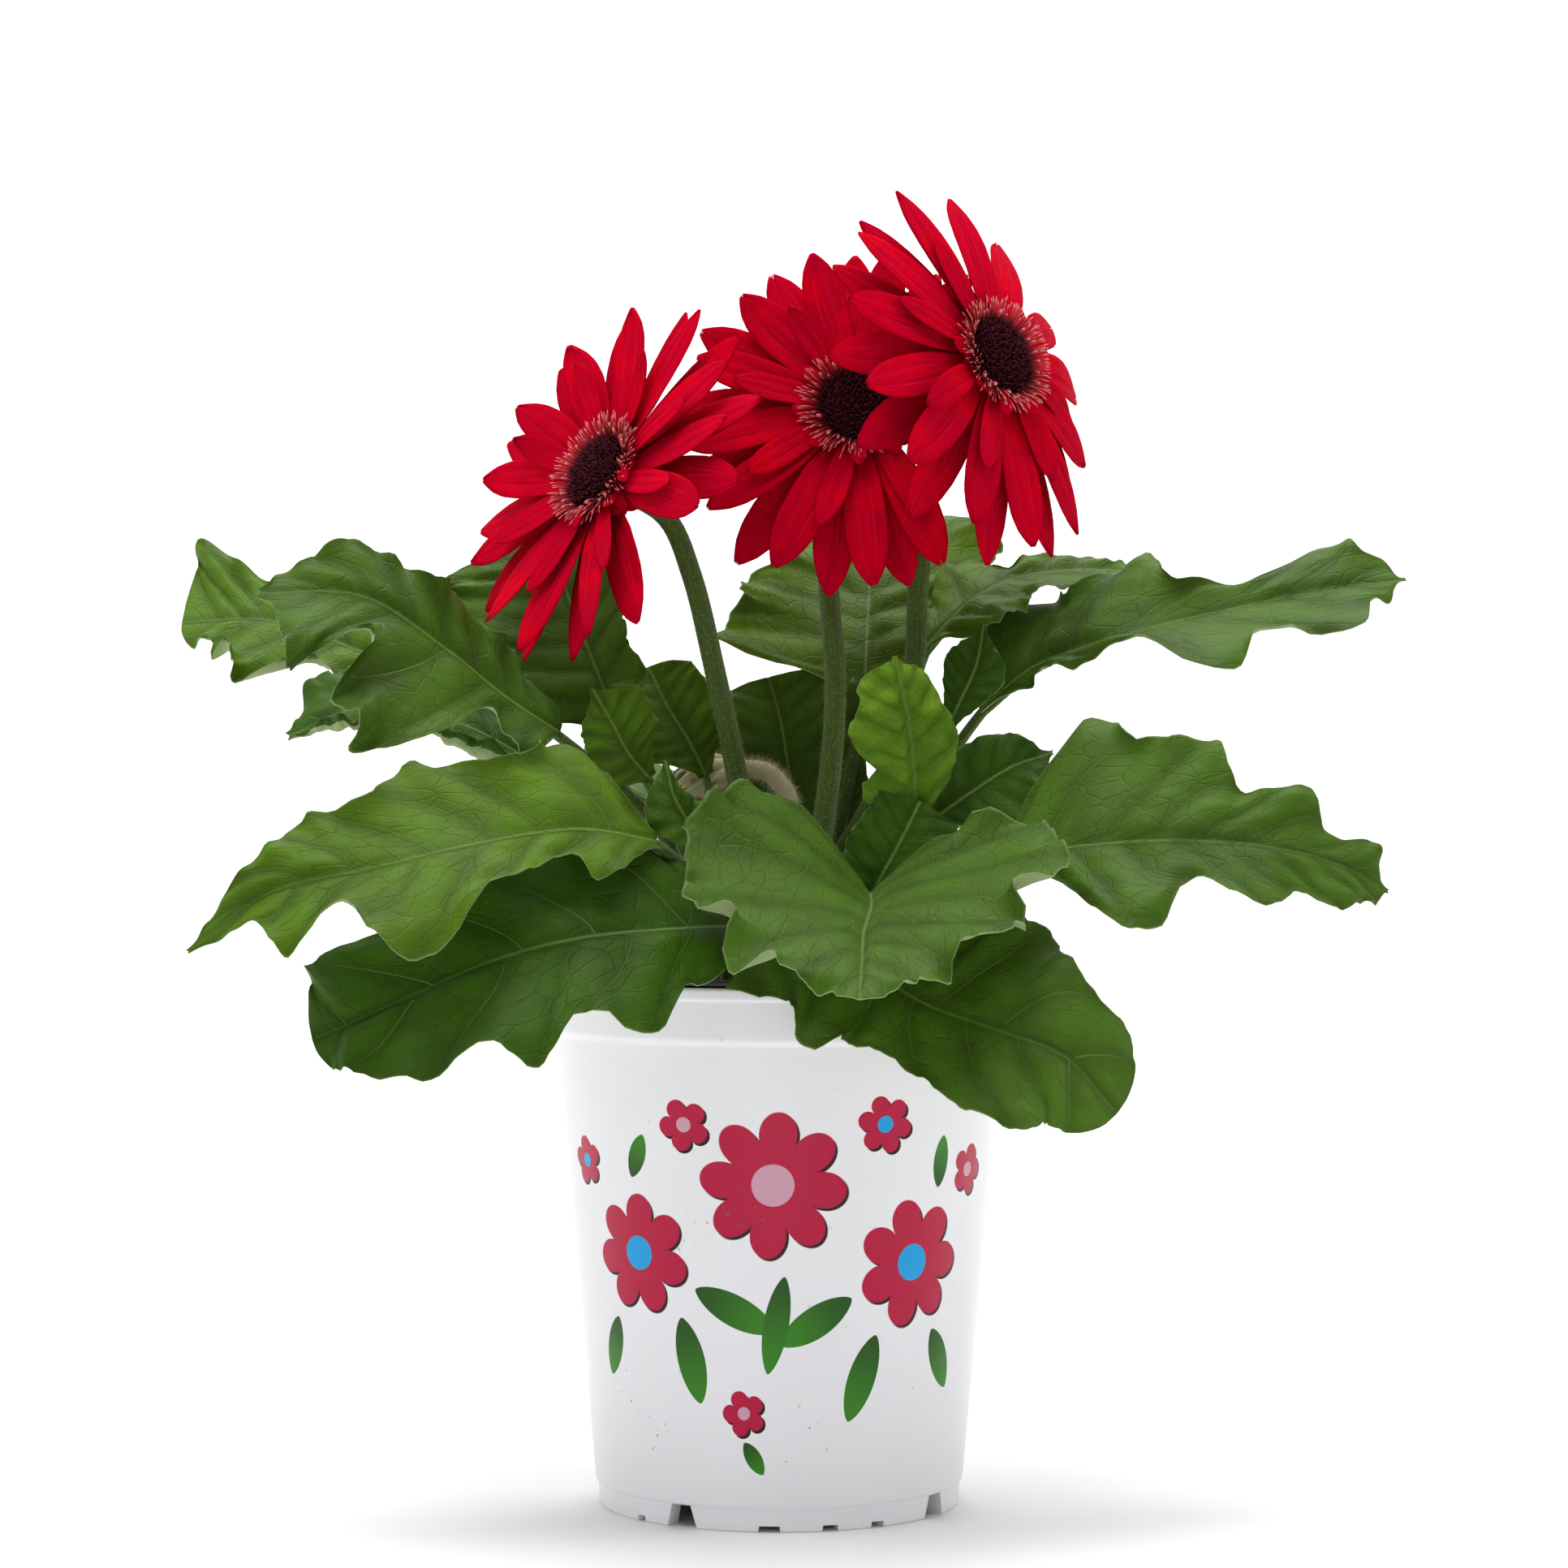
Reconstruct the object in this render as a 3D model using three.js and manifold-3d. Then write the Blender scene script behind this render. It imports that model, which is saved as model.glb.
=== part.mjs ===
// Potted gerbera: three red flower heads and a rosette of lobed leaves in a white pot.
// Millimetres, +Z up, front towards -Y. The origin is the centre of the pot's footprint.
import * as THREE from "three";
import { mergeVertices } from "three/addons/utils/BufferGeometryUtils.js";
import Module from "manifold-3d";

const wasm = await Module();
wasm.setup();

// ---------------------------------------------------------------- driving dimensions
const potHeight = 185.5;
const potTopRadius = 82.5;
const potBaseRadius = 65;
const potWall = 1.4;
const footHeight = 8;
const footGapAngles = [-121.5, -32.5, 57.5, 147.5];
const footGapWidth = 11;
const footNotches = [[-93, 7], [-74, 5.5], [-58, 5], [-138, 4], [12, 6], [103, 6]];
const bandHeight = 19.5;
const bandProud = 1.1;
const roundSegments = 36;

const liner = { wall: 1, top: 188, rimWidth: 3.4, rimThickness: 2, floor: 14 };
const soilTop = 171;
const crown = { radius: 31, bottom: 163, top: 177 };
const fit = 0.3;
const stalkBottom = 166;
const upright = 14;
const socketClearance = 1.4;

const bladeThickness = 1;
const rowSpacing = 5;
const stalkSides = 5;
const stalkRadius = 2.8;
const smallStalkRadius = 2;
const scapeRadius = 4;
const budStalkRadius = 3;

const head = { discRadius: 13.5, ringRadius: 15, ringThickness: 4.6, cupDepth: 12 };
const petalThickness = 1.2;
const filament = { count: 16, reach: 6.5, rise: 6.5, radius: 0.6 };

const white = new THREE.MeshStandardMaterial({ color: 0xf2f2f3, roughness: 0.3, metalness: 0 });
const black = new THREE.MeshStandardMaterial({ color: 0x16171c, roughness: 0.5, metalness: 0 });
const peat = new THREE.MeshStandardMaterial({ color: 0x2b2019, roughness: 1, metalness: 0 });
const crownGreen = new THREE.MeshStandardMaterial({ color: 0x6e6a48, roughness: 0.9, metalness: 0 });
const darkLeaf = new THREE.MeshStandardMaterial({ color: 0x2c5a25, roughness: 0.6, metalness: 0 });
const midLeaf = new THREE.MeshStandardMaterial({ color: 0x3e6f2c, roughness: 0.6, metalness: 0 });
const freshLeaf = new THREE.MeshStandardMaterial({ color: 0x5d9233, roughness: 0.6, metalness: 0 });
const scapeGreen = new THREE.MeshStandardMaterial({ color: 0x5f7a3e, roughness: 0.8, metalness: 0 });
const petalRed = new THREE.MeshStandardMaterial({ color: 0xc4000e, roughness: 0.55, metalness: 0 });
const discBrown = new THREE.MeshStandardMaterial({ color: 0x2a0b10, roughness: 0.95, metalness: 0 });
const filamentPink = new THREE.MeshStandardMaterial({ color: 0xd9837a, roughness: 0.8, metalness: 0 });
const budTan = new THREE.MeshStandardMaterial({ color: 0x8f7a5c, roughness: 0.95, metalness: 0 });

// ---------------------------------------------------------------- leaves
// foot: where the stalk stands in the crown, as [distance from its middle, azimuth].
// stalk, rib: points of the leaf stalk and of the blade's midrib. up: where the upper face looks.
// fold: how far the two halves rise, in degrees, at the base and the tip. lean: how far the side
// veins lean forward, likewise. wave: number and height of the margin's waves.
// right, left: widest and narrowest places of each half, as [percent of the midrib, width].
const leaves = {
  leaf_right: {
    colour: midLeaf, foot: [24, -28], stalk: [[38, -22, 206]],
    rib: [[74, -46, 228], [101, -62, 233], [133, -74, 235], [164, -78, 233], [188, -76, 227],
      [205, -72, 218]],
    up: [0.05, -0.8, 0.6], fold: [6, 6], lean: [10, 35], wave: [4, 2.5],
    right: [[0, 4], [12, 13], [30, 44], [41, 19], [53, 30], [62, 20], [71, 23], [90, 10], [100, 1]],
    left: [[0, 8], [11, 58], [26, 43], [37, 43], [50, 22], [57, 28], [74, 12], [80, 15], [100, 1]],
  },
  leaf_right_high: {
    colour: freshLeaf, foot: [24, 20], stalk: [[38, 18, 225]],
    rib: [[72, 18, 281], [91, 12, 296], [106, 5, 302], [142, -6, 312], [192, -14, 322], [220, -14, 326]],
    up: [-0.1, -0.62, 0.79], fold: [10, 10], lean: [0, 30], wave: [4, 3],
    right: [[0, 3], [30, 11], [48, 9], [61, 42], [68, 26], [75, 40], [87, 15], [100, 1]],
    left: [[0, 4], [18, 36], [36, 26], [48, 45], [60, 15], [68, 12], [77, 27], [90, 13], [100, 1]],
  },
  leaf_left_high: {
    colour: darkLeaf, foot: [24, -160], stalk: [[-38, -14, 232]],
    rib: [[-76, -28, 272], [-94, -40, 284], [-115, -51, 301], [-142, -58, 318], [-176, -62, 319]],
    up: [0, -0.75, 0.66], fold: [4, 4], lean: [5, 30], wave: [4, 3],
    right: [[0, 6], [14, 15], [31, 16], [60, 16], [72, 22], [88, 14], [100, 2]],
    left: [[0, 3], [12, 22], [26, 12], [44, 58], [54, 50], [65, 24], [76, 42], [100, 3]],
  },
  leaf_left_upright: {
    colour: darkLeaf, foot: [15.5, 180], stalk: [[-32, 6, 225]],
    rib: [[-58, 8, 276], [-66, 14, 296], [-73, 22, 313], [-80, 32, 331], [-88, 42, 345]],
    up: [-0.1, -0.95, 0.2], fold: [6, 6], lean: [0, 20], wave: [3, 2],
    right: [[0, 4], [15, 13], [24, 12], [45, 21], [60, 20], [100, 2]],
    left: [[0, 4], [15, 14], [35, 30], [62, 42], [82, 38], [100, 8]],
  },
  leaf_left_back: {
    colour: freshLeaf, foot: [24, 134], stalk: [[-22, 20, 195], [-60, 26, 244]],
    rib: [[-118, 30, 288], [-154, 38, 303], [-187, 42, 314], [-219, 44, 313]],
    up: [0, -0.7, 0.7], fold: [4, 4], lean: [10, 30], wave: [4, 3],
    right: [[0, 5], [20, 16], [48, 23], [64, 22], [79, 42], [100, 5]],
    left: [[0, 5], [14, 18], [36, 22], [50, 42], [64, 34], [83, 18], [100, 2]],
  },
  leaf_left_under: {
    colour: darkLeaf, foot: [24, 178], stalk: [[-50, 4, 226]],
    rib: [[-86, -6, 262], [-114, -12, 276], [-145, -19, 281], [-171, -22, 271]],
    up: [0, -0.5, 0.86], fold: [0, 0], lean: [10, 25], wave: [3, 2],
    right: [[0, 5], [29, 34], [50, 32], [72, 27], [100, 3]],
    left: [[0, 6], [14, 24], [40, 20], [64, 24], [100, 3]],
  },
  leaf_left_front: {
    colour: freshLeaf, foot: [24, -130], stalk: [[-28, -40, 218]],
    rib: [[-41, -66, 235], [-66, -84, 239], [-97, -102, 235], [-135, -116, 226], [-164, -122, 219],
      [-191, -124, 200]],
    up: [0, -0.75, 0.66], fold: [4, 4], lean: [0, 35], wave: [4, 2.5],
    right: [[0, 4], [6, 12], [11, 47], [28, 30], [39, 43], [53, 27], [60, 29], [84, 11], [100, 1]],
    left: [[0, 4], [18, 21], [25, 7], [38, 20], [52, 43], [64, 18], [72, 29], [86, 8], [100, 1]],
  },
  leaf_left_low: {
    colour: darkLeaf, foot: [24, -104], stalk: [[-11, -42, 204]],
    rib: [[-12, -62, 206], [-30, -80, 206], [-67, -100, 203], [-94, -109, 196], [-137, -109, 177],
      [-153, -107, 170]],
    up: [-0.1, -0.85, 0.5], fold: [0, 0], lean: [0, 30], wave: [4, 2.5],
    right: [[0, 6], [17, 34], [32, 30], [50, 29], [73, 30], [100, 2]],
    left: [[0, 6], [22, 22], [31, 41], [41, 29], [52, 43], [63, 29], [68, 34], [75, 24], [84, 16],
      [100, 2]],
  },
  leaf_front: {
    colour: midLeaf, foot: [24, -52], stalk: [[19, -34, 214]],
    rib: [[31, -62, 217], [31, -76, 213], [28, -100, 205], [27, -125, 197], [26, -148, 186]],
    up: [0, -0.2, 1], fold: [34, -10], lean: [-35, 70], wave: [4, 3],
    right: [[0, 20], [6, 60], [24, 68], [36, 69], [50, 62], [58, 50], [66, 46], [71, 29], [79, 15],
      [88, 10], [100, 2]],
    left: [[0, 20], [6, 42], [24, 71], [36, 72], [50, 55], [58, 55], [66, 33], [72, 31], [79, 18],
      [88, 11], [100, 3]],
  },
  leaf_front_right_low: {
    colour: darkLeaf, foot: [24, -78], stalk: [[0, -50, 201]],
    rib: [[-6, -80, 202], [18, -86, 198], [38, -91, 187], [49, -98, 181], [69, -106, 174], [93, -109, 165],
      [111, -107, 146]],
    up: [0.2, -0.85, 0.45], fold: [0, 0], lean: [-18, 28], wave: [3, 2],
    right: [[0, 22], [9, 22], [17, 25], [25, 36], [35, 30], [48, 24], [72, 34], [88, 18], [100, 6]],
    left: [[0, 8], [20, 8], [34, 38], [48, 50], [62, 44], [83, 22], [100, 6]],
  },
  leaf_back_mid: {
    colour: midLeaf, foot: [15.5, 66], stalk: [[22, 22, 240]],
    rib: [[31, 32, 288], [32, 44, 306], [33, 58, 321], [34, 74, 337], [35, 92, 353]],
    up: [0, -0.85, 0.5], fold: [5, 5], lean: [0, 30], wave: [4, 3],
    right: [[0, 6], [20, 22], [45, 34], [66, 52], [82, 44], [100, 8]],
    left: [[0, 10], [16, 55], [36, 48], [48, 47], [60, 32], [75, 30], [100, 4]],
  },
  leaf_right_back: {
    colour: freshLeaf, foot: [15.5, 36], stalk: [[20, 14, 200], [38, 24, 246]],
    rib: [[52, 28, 303], [66, 33, 318], [84, 40, 329], [113, 50, 333], [134, 56, 332]],
    up: [0, -0.35, 0.94], fold: [0, 0], lean: [0, 20], wave: [4, 2],
    right: [[0, 3], [29, 24], [50, 20], [84, 9], [100, 1]],
    left: [[0, 3], [40, 30], [54, 11], [72, 20], [84, 7], [92, 12], [100, 1]],
  },
  leaf_young_front: {
    small: true, colour: freshLeaf, foot: [15.5, -30], stalk: [[32, -12, 216]],
    rib: [[48, -22, 240], [47, -29, 258], [45, -35, 275], [42, -38, 289], [40, -37, 298]],
    up: [0.1, -0.97, 0.2], fold: [10, 10], lean: [0, 30], wave: [4, 2],
    right: [[0, 3], [22, 13], [37, 17], [60, 12], [100, 1]],
    left: [[0, 4], [16, 20], [28, 16], [42, 23], [62, 18], [100, 1]],
  },
  leaf_small_right: {
    small: true, colour: darkLeaf, foot: [15.5, 3], stalk: [[18, 1, 196], [40, 0, 238]],
    rib: [[60, -2, 275], [65, -1, 285], [70, 1, 296], [73, 4, 311]],
    up: [-0.2, -0.95, 0.1], fold: [10, 10], lean: [0, 25], wave: [3, 1],
    right: [[0, 3], [55, 11], [100, 1]],
    left: [[0, 3], [60, 10], [100, 1]],
  },
  leaf_inner_right: {
    small: true, colour: darkLeaf, foot: [24, -4], stalk: [[36, -8, 218]],
    rib: [[53, -16, 241], [67, -22, 251], [81, -26, 260], [95, -28, 265]],
    up: [0, -0.85, 0.5], fold: [5, 5], lean: [0, 30], wave: [3, 1.5],
    right: [[0, 3], [45, 17], [100, 1]],
    left: [[0, 3], [30, 13], [52, 12], [100, 1]],
  },
  leaf_inner_left: {
    small: true, colour: freshLeaf, foot: [15.5, -155], stalk: [[-32, -16, 226]],
    rib: [[-45, -22, 256], [-52, -26, 264], [-58, -28, 275], [-65, -29, 287]],
    up: [0.1, -0.9, 0.4], fold: [8, 8], lean: [0, 25], wave: [3, 1],
    right: [[0, 3], [55, 12], [100, 1]],
    left: [[0, 3], [35, 13], [100, 1]],
  },
  leaf_mid_left: {
    small: true, colour: midLeaf, foot: [15.5, -126], stalk: [[-20, -8, 226]],
    rib: [[-26, 2, 257], [-32, 4, 269], [-40, 8, 282], [-47, 14, 296]],
    up: [0.1, -0.95, 0.3], fold: [8, 8], lean: [0, 25], wave: [3, 1],
    right: [[0, 3], [45, 16], [100, 3]],
    left: [[0, 3], [45, 20], [100, 4]],
  },
  leaf_small_left: {
    small: true, colour: midLeaf, foot: [15.5, -95], stalk: [[-12, -32, 212]],
    rib: [[-22, -46, 233], [-30, -50, 240], [-36, -51, 250], [-39, -50, 262]],
    up: [0, -0.9, 0.4], fold: [8, 8], lean: [0, 25], wave: [2, 1],
    right: [[0, 3], [25, 8], [100, 1]],
    left: [[0, 3], [50, 13], [100, 1]],
  },
  leaf_mid_back: {
    small: true, colour: darkLeaf, foot: [15.5, 94], stalk: [[2, 25, 210]],
    rib: [[4, 28, 224], [6, 29, 242], [3, 31, 262], [0, 34, 279], [-4, 41, 293]],
    up: [0, -0.95, 0.3], fold: [8, 8], lean: [0, 25], wave: [3, 1.5],
    right: [[0, 4], [22, 16], [62, 20], [100, 3]],
    left: [[0, 4], [20, 15], [62, 26], [100, 5]],
  },
  leaf_centre_right: {
    small: true, colour: darkLeaf, foot: [15.5, -62], stalk: [[19, -24, 206]],
    rib: [[30, -31, 212], [36, -33, 223], [43, -34, 236], [49, -33, 248]],
    up: [0, -0.95, 0.3], fold: [6, 6], lean: [0, 25], wave: [3, 1],
    right: [[0, 4], [30, 17], [70, 15], [100, 2]],
    left: [[0, 4], [35, 15], [70, 13], [100, 2]],
  },
  leaf_back_left: {
    colour: midLeaf, foot: [24, 110], stalk: [[-26, 34, 220]],
    rib: [[-42, 54, 246], [-66, 80, 258], [-94, 106, 262], [-124, 130, 252]],
    up: [0.1, -0.1, 1], fold: [6, 4], lean: [5, 30], wave: [4, 3],
    right: [[0, 4], [20, 28], [34, 22], [50, 34], [64, 24], [78, 24], [100, 2]],
    left: [[0, 4], [24, 30], [38, 24], [56, 36], [70, 22], [82, 20], [100, 2]],
  },
  leaf_back_right: {
    colour: darkLeaf, foot: [24, 48], stalk: [[40, 30, 216]],
    rib: [[58, 48, 238], [84, 72, 248], [112, 96, 250], [140, 118, 242]],
    up: [-0.1, -0.1, 1], fold: [6, 4], lean: [5, 30], wave: [4, 3],
    right: [[0, 4], [22, 30], [38, 22], [54, 34], [70, 22], [82, 20], [100, 2]],
    left: [[0, 4], [20, 26], [36, 22], [52, 36], [66, 22], [80, 22], [100, 2]],
  },
  leaf_back_high: {
    colour: freshLeaf, foot: [15.5, 122], stalk: [[-8, 46, 226]],
    rib: [[-6, 62, 256], [-4, 84, 276], [-2, 110, 286], [0, 142, 280]],
    up: [0, -0.3, 1], fold: [8, 6], lean: [5, 30], wave: [4, 3],
    right: [[0, 4], [20, 28], [34, 22], [50, 36], [66, 24], [80, 20], [100, 2]],
    left: [[0, 4], [26, 32], [40, 24], [58, 34], [72, 22], [84, 18], [100, 2]],
  },
  leaf_back_low: {
    colour: darkLeaf, foot: [24, 80], stalk: [[18, 52, 202]],
    rib: [[22, 78, 212], [26, 104, 212], [30, 128, 202], [34, 149, 184]],
    up: [0, 0.2, 1], fold: [6, 4], lean: [5, 30], wave: [4, 3],
    right: [[0, 4], [22, 28], [38, 22], [56, 32], [72, 20], [100, 2]],
    left: [[0, 4], [26, 30], [42, 24], [60, 32], [76, 20], [100, 2]],
  },
  leaf_back_left_low: {
    colour: darkLeaf, foot: [24, 156], stalk: [[-46, 30, 206]],
    rib: [[-66, 42, 218], [-92, 58, 220], [-122, 76, 210], [-150, 90, 190]],
    up: [0, 0.1, 1], fold: [6, 4], lean: [5, 30], wave: [4, 3],
    right: [[0, 4], [20, 26], [36, 20], [54, 32], [70, 20], [100, 2]],
    left: [[0, 4], [24, 28], [40, 22], [58, 32], [74, 20], [100, 2]],
  },
};

// ---------------------------------------------------------------- flowers
// centre, facing: place and direction of the head. neck: the scape's points up to the back of the
// head. reflex: how far the rays bend back. lift: [azimuth, height] of the side whose tips rise more.
// gap: [from, to] of an arc whose rays stay short, in degrees around the head.
const flowers = {
  left: {
    foot: [6.2, 180], centre: [-63, -24, 363], facing: [-0.71, -0.58, 0.4], reflex: 3, length: 57, turn: 4,
    lift: [90, 9], gap: [-94, -68],
    neck: [[-13, 2, 245], [-23, -3, 295], [-31, -6, 328], [-39, -9, 347]],
  },
  middle: {
    foot: [6.2, -60], centre: [28, 2, 389], facing: [0, -0.94, 0.34], reflex: 9, length: 55, turn: 9,
    lift: [90, 8], gap: [-48, 34],
    neck: [[15, 0, 235], [20, 6, 285], [17.5, 17, 338], [22, 24, 368]],
  },
  right: {
    foot: [6.2, 60], centre: [77, -28, 403], facing: [0.66, -0.68, 0.3], reflex: 10, length: 57, turn: 0,
    lift: [62, -16], gap: [0, 0],
    neck: [[5, 7, 192], [14, 12, 214], [36, 17, 252], [48, 18, 293], [50, 17, 325], [54, 12, 362],
      [60, -2, 388]],
  },
};
const petalLayers = [
  { count: 13, rise: 0, base: 1.2, length: 1, width: 8 },
  { count: 13, rise: 8, base: 2.6, length: 0.94, width: 7.6 },
  { count: 8, rise: 15, base: 3.9, length: 0.62, width: 5.2 },
];
const petalOutline = [[0, 0.3], [0.38, 0.88], [0.78, 1]];
const petalTip = 1.8;
const petalBend = 3.5;

const bud = {
  foot: [15.5, 152], centre: [-25, 17, 256], facing: [-0.87, -0.3, -0.4], length: 19, radius: 9.5,
  neck: [[-12, 10, 205], [-3, 14, 229], [4, 15, 246], [-4, 17, 258]],
};

// ---------------------------------------------------------------- geometry helpers
const toRadians = THREE.MathUtils.degToRad;
const vector = (list) => new THREE.Vector3(...list);

function toSolid(geometry) {
  const bare = new THREE.BufferGeometry();
  bare.setAttribute("position", geometry.attributes.position);
  bare.setIndex(geometry.index);
  const merged = mergeVertices(bare, 1e-4);
  const vertProperties = new Float32Array(merged.attributes.position.array);
  const triVerts = new Uint32Array(merged.index.array);
  return new wasm.Manifold(new wasm.Mesh({ numProp: 3, vertProperties, triVerts }));
}

function toGeometry(solid) {
  const mesh = solid.getMesh();
  const geometry = new THREE.BufferGeometry();
  geometry.setAttribute("position", new THREE.BufferAttribute(new Float32Array(mesh.vertProperties), 3));
  geometry.setIndex(new THREE.BufferAttribute(new Uint32Array(mesh.triVerts), 1));
  geometry.computeVertexNormals();
  return geometry;
}

function latheSolid(profile, segments, matrix) {
  const outline = profile.map(([radius, height]) => new THREE.Vector2(radius, height));
  const geometry = new THREE.LatheGeometry(outline, segments);
  geometry.rotateX(Math.PI / 2);
  if (matrix) geometry.applyMatrix4(matrix);
  return toSolid(geometry);
}

// A closed skin over rings of points, each ring with the same number of points, seen anticlockwise
// from the far end. The first and last rings are closed with a fan. The four-sided faces of the first
// mirroredSides sides are split the other way.
function ringSolid(rings, mirroredSides = 0) {
  const sides = rings[0].length;
  const points = rings.flat();
  const faces = [];
  for (let row = 0; row < rings.length - 1; row++) {
    for (let side = 0; side < sides; side++) {
      const next = (side + 1) % sides;
      const [a, b] = [row * sides + side, row * sides + next];
      if (side < mirroredSides) faces.push(a, b, a + sides, b, b + sides, a + sides);
      else faces.push(a, b, b + sides, a, b + sides, a + sides);
    }
  }
  const last = (rings.length - 1) * sides;
  for (let side = 1; side < sides - 1; side++) {
    faces.push(0, side + 1, side);
    faces.push(last, last + side, last + side + 1);
  }
  const geometry = new THREE.BufferGeometry().setFromPoints(points);
  geometry.setIndex(faces);
  return toSolid(geometry);
}

// A stalk's foot stands upright in its socket.
function footPoints([distance, azimuth]) {
  const x = distance * Math.cos(toRadians(azimuth));
  const y = distance * Math.sin(toRadians(azimuth));
  return [[x, y, stalkBottom], [x, y, stalkBottom + upright]];
}

// Centres of a stalk's rings: its foot, then even steps along a curve through the points.
function stalkCentres(foot, points, steps) {
  const [bottom, top] = footPoints(foot);
  const curve = new THREE.CatmullRomCurve3([top, ...points].map(vector));
  return [vector(bottom), ...curve.getSpacedPoints(steps)];
}

function tube(centres, startRadius, endRadius, sides) {
  const last = centres.length - 1;
  let normal = new THREE.Vector3(0.3, 1, 0.2).cross(centres[1].clone().sub(centres[0]));
  const rings = centres.map((centre, step) => {
    const tangent = centres[Math.min(step + 1, last)].clone().sub(centres[Math.max(step - 1, 0)]).normalize();
    normal = normal.addScaledVector(tangent, -normal.dot(tangent)).normalize();
    const binormal = tangent.clone().cross(normal);
    const radius = THREE.MathUtils.lerp(startRadius, endRadius, step / last);
    return Array.from({ length: sides }, (_, side) => {
      const angle = (2 * Math.PI * side) / sides;
      return centre.clone()
        .addScaledVector(normal, radius * Math.cos(angle))
        .addScaledVector(binormal, radius * Math.sin(angle));
    });
  });
  return ringSolid(rings);
}

// Matrix of a frame at centre whose +Z looks along direction.
function placed(centre, direction) {
  const turn = new THREE.Quaternion().setFromUnitVectors(new THREE.Vector3(0, 0, 1), direction);
  return new THREE.Matrix4().compose(centre, turn, new THREE.Vector3(1, 1, 1));
}

// ---------------------------------------------------------------- leaf blade
// Width of one half: eased between its widest and narrowest places, so that lobes come out round.
function halfWidth(places, t) {
  const percent = 100 * t;
  const next = Math.max(1, places.findIndex(([at]) => at >= percent));
  const [[from, low], [to, high]] = [places[next - 1], places[next]];
  return low + (high - low) * THREE.MathUtils.smoothstep(percent, from, to);
}

function bladePoint(leaf, curve, up, t, across, face) {
  const centre = curve.getPoint(t);
  const along = curve.getTangent(t);
  const right = along.clone().cross(up).normalize();
  const normal = right.clone().cross(along);
  const side = Math.sign(across);
  const width = halfWidth(across > 0 ? leaf.right : leaf.left, t) * Math.abs(across);
  const lean = toRadians(THREE.MathUtils.lerp(...leaf.lean, t));
  const fold = toRadians(THREE.MathUtils.lerp(...leaf.fold, t));
  const [waves, height] = leaf.wave;
  const ease = Math.min(1, 6 * t, 6 * (1 - t));
  const wave = height * ease * across ** 2 * Math.sin(2 * Math.PI * waves * t + side);
  return centre
    .addScaledVector(right, side * width * Math.cos(fold) * Math.cos(lean))
    .addScaledVector(along, width * Math.cos(fold) * Math.sin(lean))
    .addScaledVector(normal, width * Math.sin(fold) + wave + (face * bladeThickness) / 2);
}

// Rows across the blade lie at its widest and narrowest places.
function rowPlaces(leaf) {
  const all = [...leaf.right, ...leaf.left].map(([at]) => at).sort((a, b) => a - b);
  const rows = [0];
  for (const at of all) if (at - rows.at(-1) >= rowSpacing && at <= 100 - rowSpacing) rows.push(at);
  return [...rows, 100].map((percent) => percent / 100);
}

// The blade's rings run round its two faces, which share their split into triangles.
function blade(leaf) {
  const curve = new THREE.CatmullRomCurve3(leaf.rib.map(vector));
  const up = vector(leaf.up).normalize();
  const places = leaf.small ? [-1, 0, 1] : [-1, -0.5, 0, 0.5, 1];
  const rings = rowPlaces(leaf).map((t) => {
    const lower = places.map((across) => bladePoint(leaf, curve, up, t, across, -1));
    const upper = places.map((across) => bladePoint(leaf, curve, up, t, across, 1));
    return [...lower.reverse(), ...upper];
  });
  return ringSolid(rings, places.length - 1);
}

// The stalk runs a little way into the blade, under its midrib.
function leafSolid(leaf) {
  const curve = new THREE.CatmullRomCurve3(leaf.rib.map(vector));
  const points = [...leaf.stalk, leaf.rib[0], curve.getPoint(0.1).toArray()];
  const radius = leaf.small ? smallStalkRadius : stalkRadius;
  const centres = stalkCentres(leaf.foot, points, leaf.small ? 5 : 6);
  return blade(leaf).add(tube(centres, radius, radius * 0.6, stalkSides));
}

// ---------------------------------------------------------------- flower head
function petal(flower, layer, index, frame) {
  const around = (360 * (index + 0.5 * (layer.rise > 0))) / layer.count + flower.turn;
  const [from, to] = flower.gap;
  const [side, lift] = flower.lift;
  const turned = THREE.MathUtils.euclideanModulo(around + 180, 360) - 180;
  const short = turned > from && turned < to;
  const vary = 1 + 0.06 * Math.sin(7 * index + 3 * layer.rise + flower.turn);
  const length = short ? 9 : flower.length * layer.length * vary;
  const lifted = lift * Math.max(0, Math.cos(toRadians(around - side)));
  const rise = toRadians(layer.rise - flower.reflex);
  const start = head.ringRadius - 2.5;
  const at = (t, across, height) => {
    const bend = (petalBend - (short ? 0 : lifted)) * t * t;
    const out = start + t * length * Math.cos(rise);
    const level = layer.base + t * length * Math.sin(rise) - bend + height;
    return new THREE.Vector3(out, across, level)
      .applyAxisAngle(new THREE.Vector3(0, 0, 1), toRadians(around))
      .applyMatrix4(frame);
  };
  const rings = petalOutline.map(([t, share]) => {
    const width = (short ? 0.5 : 1) * share * layer.width;
    const half = petalThickness / 2;
    return [at(t, -width, half), at(t, 0, -half), at(t, width, half)];
  });
  rings.push([at(1, -petalTip, 0.4), at(1, 0, -0.4), at(1, petalTip, 0.4)]);
  return ringSolid(rings);
}

function petals(flower, frame) {
  const inner = head.ringRadius - 7;
  const top = head.ringThickness + fit;
  const ring = [[inner, fit], [head.ringRadius, fit], [head.ringRadius, top], [inner, top], [inner, fit]];
  let solid = latheSolid(ring, 16, frame);
  for (const layer of petalLayers) {
    for (let index = 0; index < layer.count; index++) solid = solid.add(petal(flower, layer, index, frame));
  }
  return solid;
}

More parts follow.
